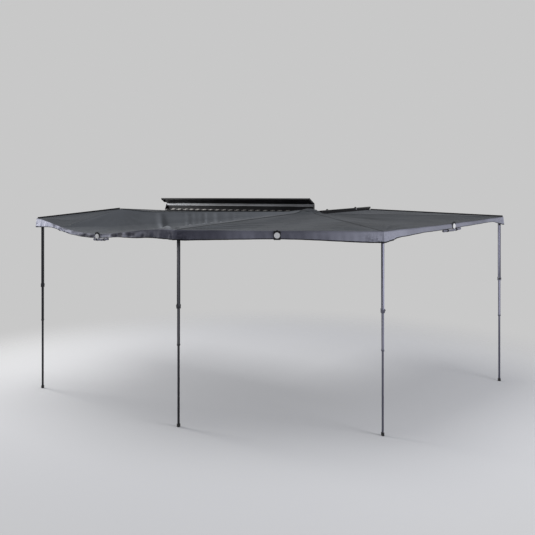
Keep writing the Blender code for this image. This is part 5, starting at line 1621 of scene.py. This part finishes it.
# %% Stitches round the tabs and along the valances
STITCH_PROBES = 120
TAB_STITCH_STEP = 0.0075
STITCH_INSET = 0.004
for letter, (first, second, edge, gore) in SIDES.items():
    outward = outward_of(CORNER[first], CORNER[second])
    line = []
    bpy.context.view_layer.update()
    for n in range(STITCH_PROBES + 1):
        share = mixed(0.03, 0.97, n / STITCH_PROBES)
        down = Vector((0, 0, valance_high(letter, share) * 0.14))
        from_point = edge(share) + outward * 0.20 - down
        hit, place, _, _ = gore.ray_cast(from_point, -outward, distance=0.30)
        if hit:
            line.append(place + outward * 0.0004)
    stitches = along_lines(f"valance_stitches_{letter}", [line], stitch, STITCH_STEP, THREAD)
    half_x, half_z = TAB_WIDE / 2 - STITCH_INSET, TAB_HIGH / 2 - STITCH_INSET
    corners = [
        side_frame(letter) @ Vector((sx * half_x, TAB_THICK + 0.0002, sz * half_z))
        for sx, sz in ((1, 1), (1, -1), (-1, -1), (-1, 1), (1, 1))
    ]
    around = along_lines(f"tab_stitches_{letter}", [corners], stitch, TAB_STITCH_STEP, THREAD)
    for piece in (stitches, around):
        follow_side(piece, letter)
print("sides stitched", len(SIDES))

# %% Loops that hold the cloth to the beams
LOOP_FROM = {1: 0.30, 2: 0.34, 3: 0.36, 4: 0.40}
LOOP_TO = {1: 2.02, 2: 1.66, 3: 1.46, 4: 2.08}
LOOP_GAPS = 3.001  # a hair more than three, so that the fourth loop still fits
for n in (1, 2, 3, 4):
    low = LEVEL_TOP[n] - BEAM_HIGH / 2
    places = [mixed(LOOP_FROM[n], LOOP_TO[n], k / 12) for k in range(13)]
    line = [arm_frame(n) @ Vector((x, 0.0, low)) for x in places]
    gap = (LOOP_TO[n] - LOOP_FROM[n]) / LOOP_GAPS
    loops = along_lines(f"beam_loops_{n}", [line], beam_loop, gap, WEBBING)
    uv_metres(loops.data)
    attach(loops, f"arm_{n}")
print("loops on four beams")

# %% Screws in the case's ends and the rear rail, and the rail's two buttons


def screws_on(name, node, starts, direction, scale=1.0):
    """Screws where rays from the starts meet a node."""
    target = bpy.data.objects[node + "_edged"]
    bpy.context.view_layer.update()
    places, facing = [], []
    for start in starts:
        hit, place, normal, _ = target.ray_cast(Vector(start), Vector(direction), distance=0.5)
        if hit and normal.dot(Vector(direction)) < -0.95:
            places.append(place)
            facing.append(normal)
    print(name, "screws", len(places), "of", len(starts))
    values = {"Item": screw, "Scale": scale, "Finish": SCREW_STEEL}
    made = grown(name, places, [], STAND, values, facing)
    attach(made, "case")


END_SCREWS = (
    (-0.010, 0.100), (-0.010, 0.050), (-0.010, -0.040), (-0.010, -0.100),
    (-0.070, -0.132), (-0.115, -0.132),
)
for end, x, way in (("front", -1.4, 1.0), ("rear", 1.4, -1.0)):
    starts = [(x, y, z) for y, z in END_SCREWS]
    screws_on(f"case_end_screws_{end}", f"case_end_{end}", starts, (way, 0.0, 0.0))
RAIL_SCREW_Y = [0.15 + 0.22 * n for n in range(6)]
starts = [(1.6, y, 0.026 + (y - 0.05) * 0.0237) for y in RAIL_SCREW_Y]
screws_on("rear_rail_screws", "rear_rail", starts, (-1.0, 0.0, 0.0), 0.9)
BUTTON_DROP = 0.013
BUTTON_SCALE = 0.42
side_of_rail = bpy.data.objects["rear_rail_edged"]
for n in (1, 2):
    low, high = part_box(f"rear_rail_stud_{n}")
    across = (low[1] + high[1]) / 2
    start = Vector((1.6, across, low[2] - BUTTON_DROP))
    _, place, _, _ = side_of_rail.ray_cast(start, Vector((-1, 0, 0)))
    button = badge(f"rear_rail_button_{n}", PALE_STUD)
    outwards = Matrix.Rotation(math.radians(-90), 4, "Z") @ Matrix.Scale(BUTTON_SCALE, 4)
    button.data.transform(Matrix.Translation(place) @ outwards)
    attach(button, "case")
    print("button", n, "at", [round(v, 3) for v in place])
for piece in (stitch, beam_loop, screw):
    bpy.data.objects.remove(piece, do_unlink=True)

# %% Which bodies the tapes follow
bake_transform(tape_front, "case", "arm_1", rail_line(TWO_THIRDS), ARM_LINE[1](TWO_THIRDS))
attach(tape_extension, "extension")
close_with_last_arm(tape_rear)
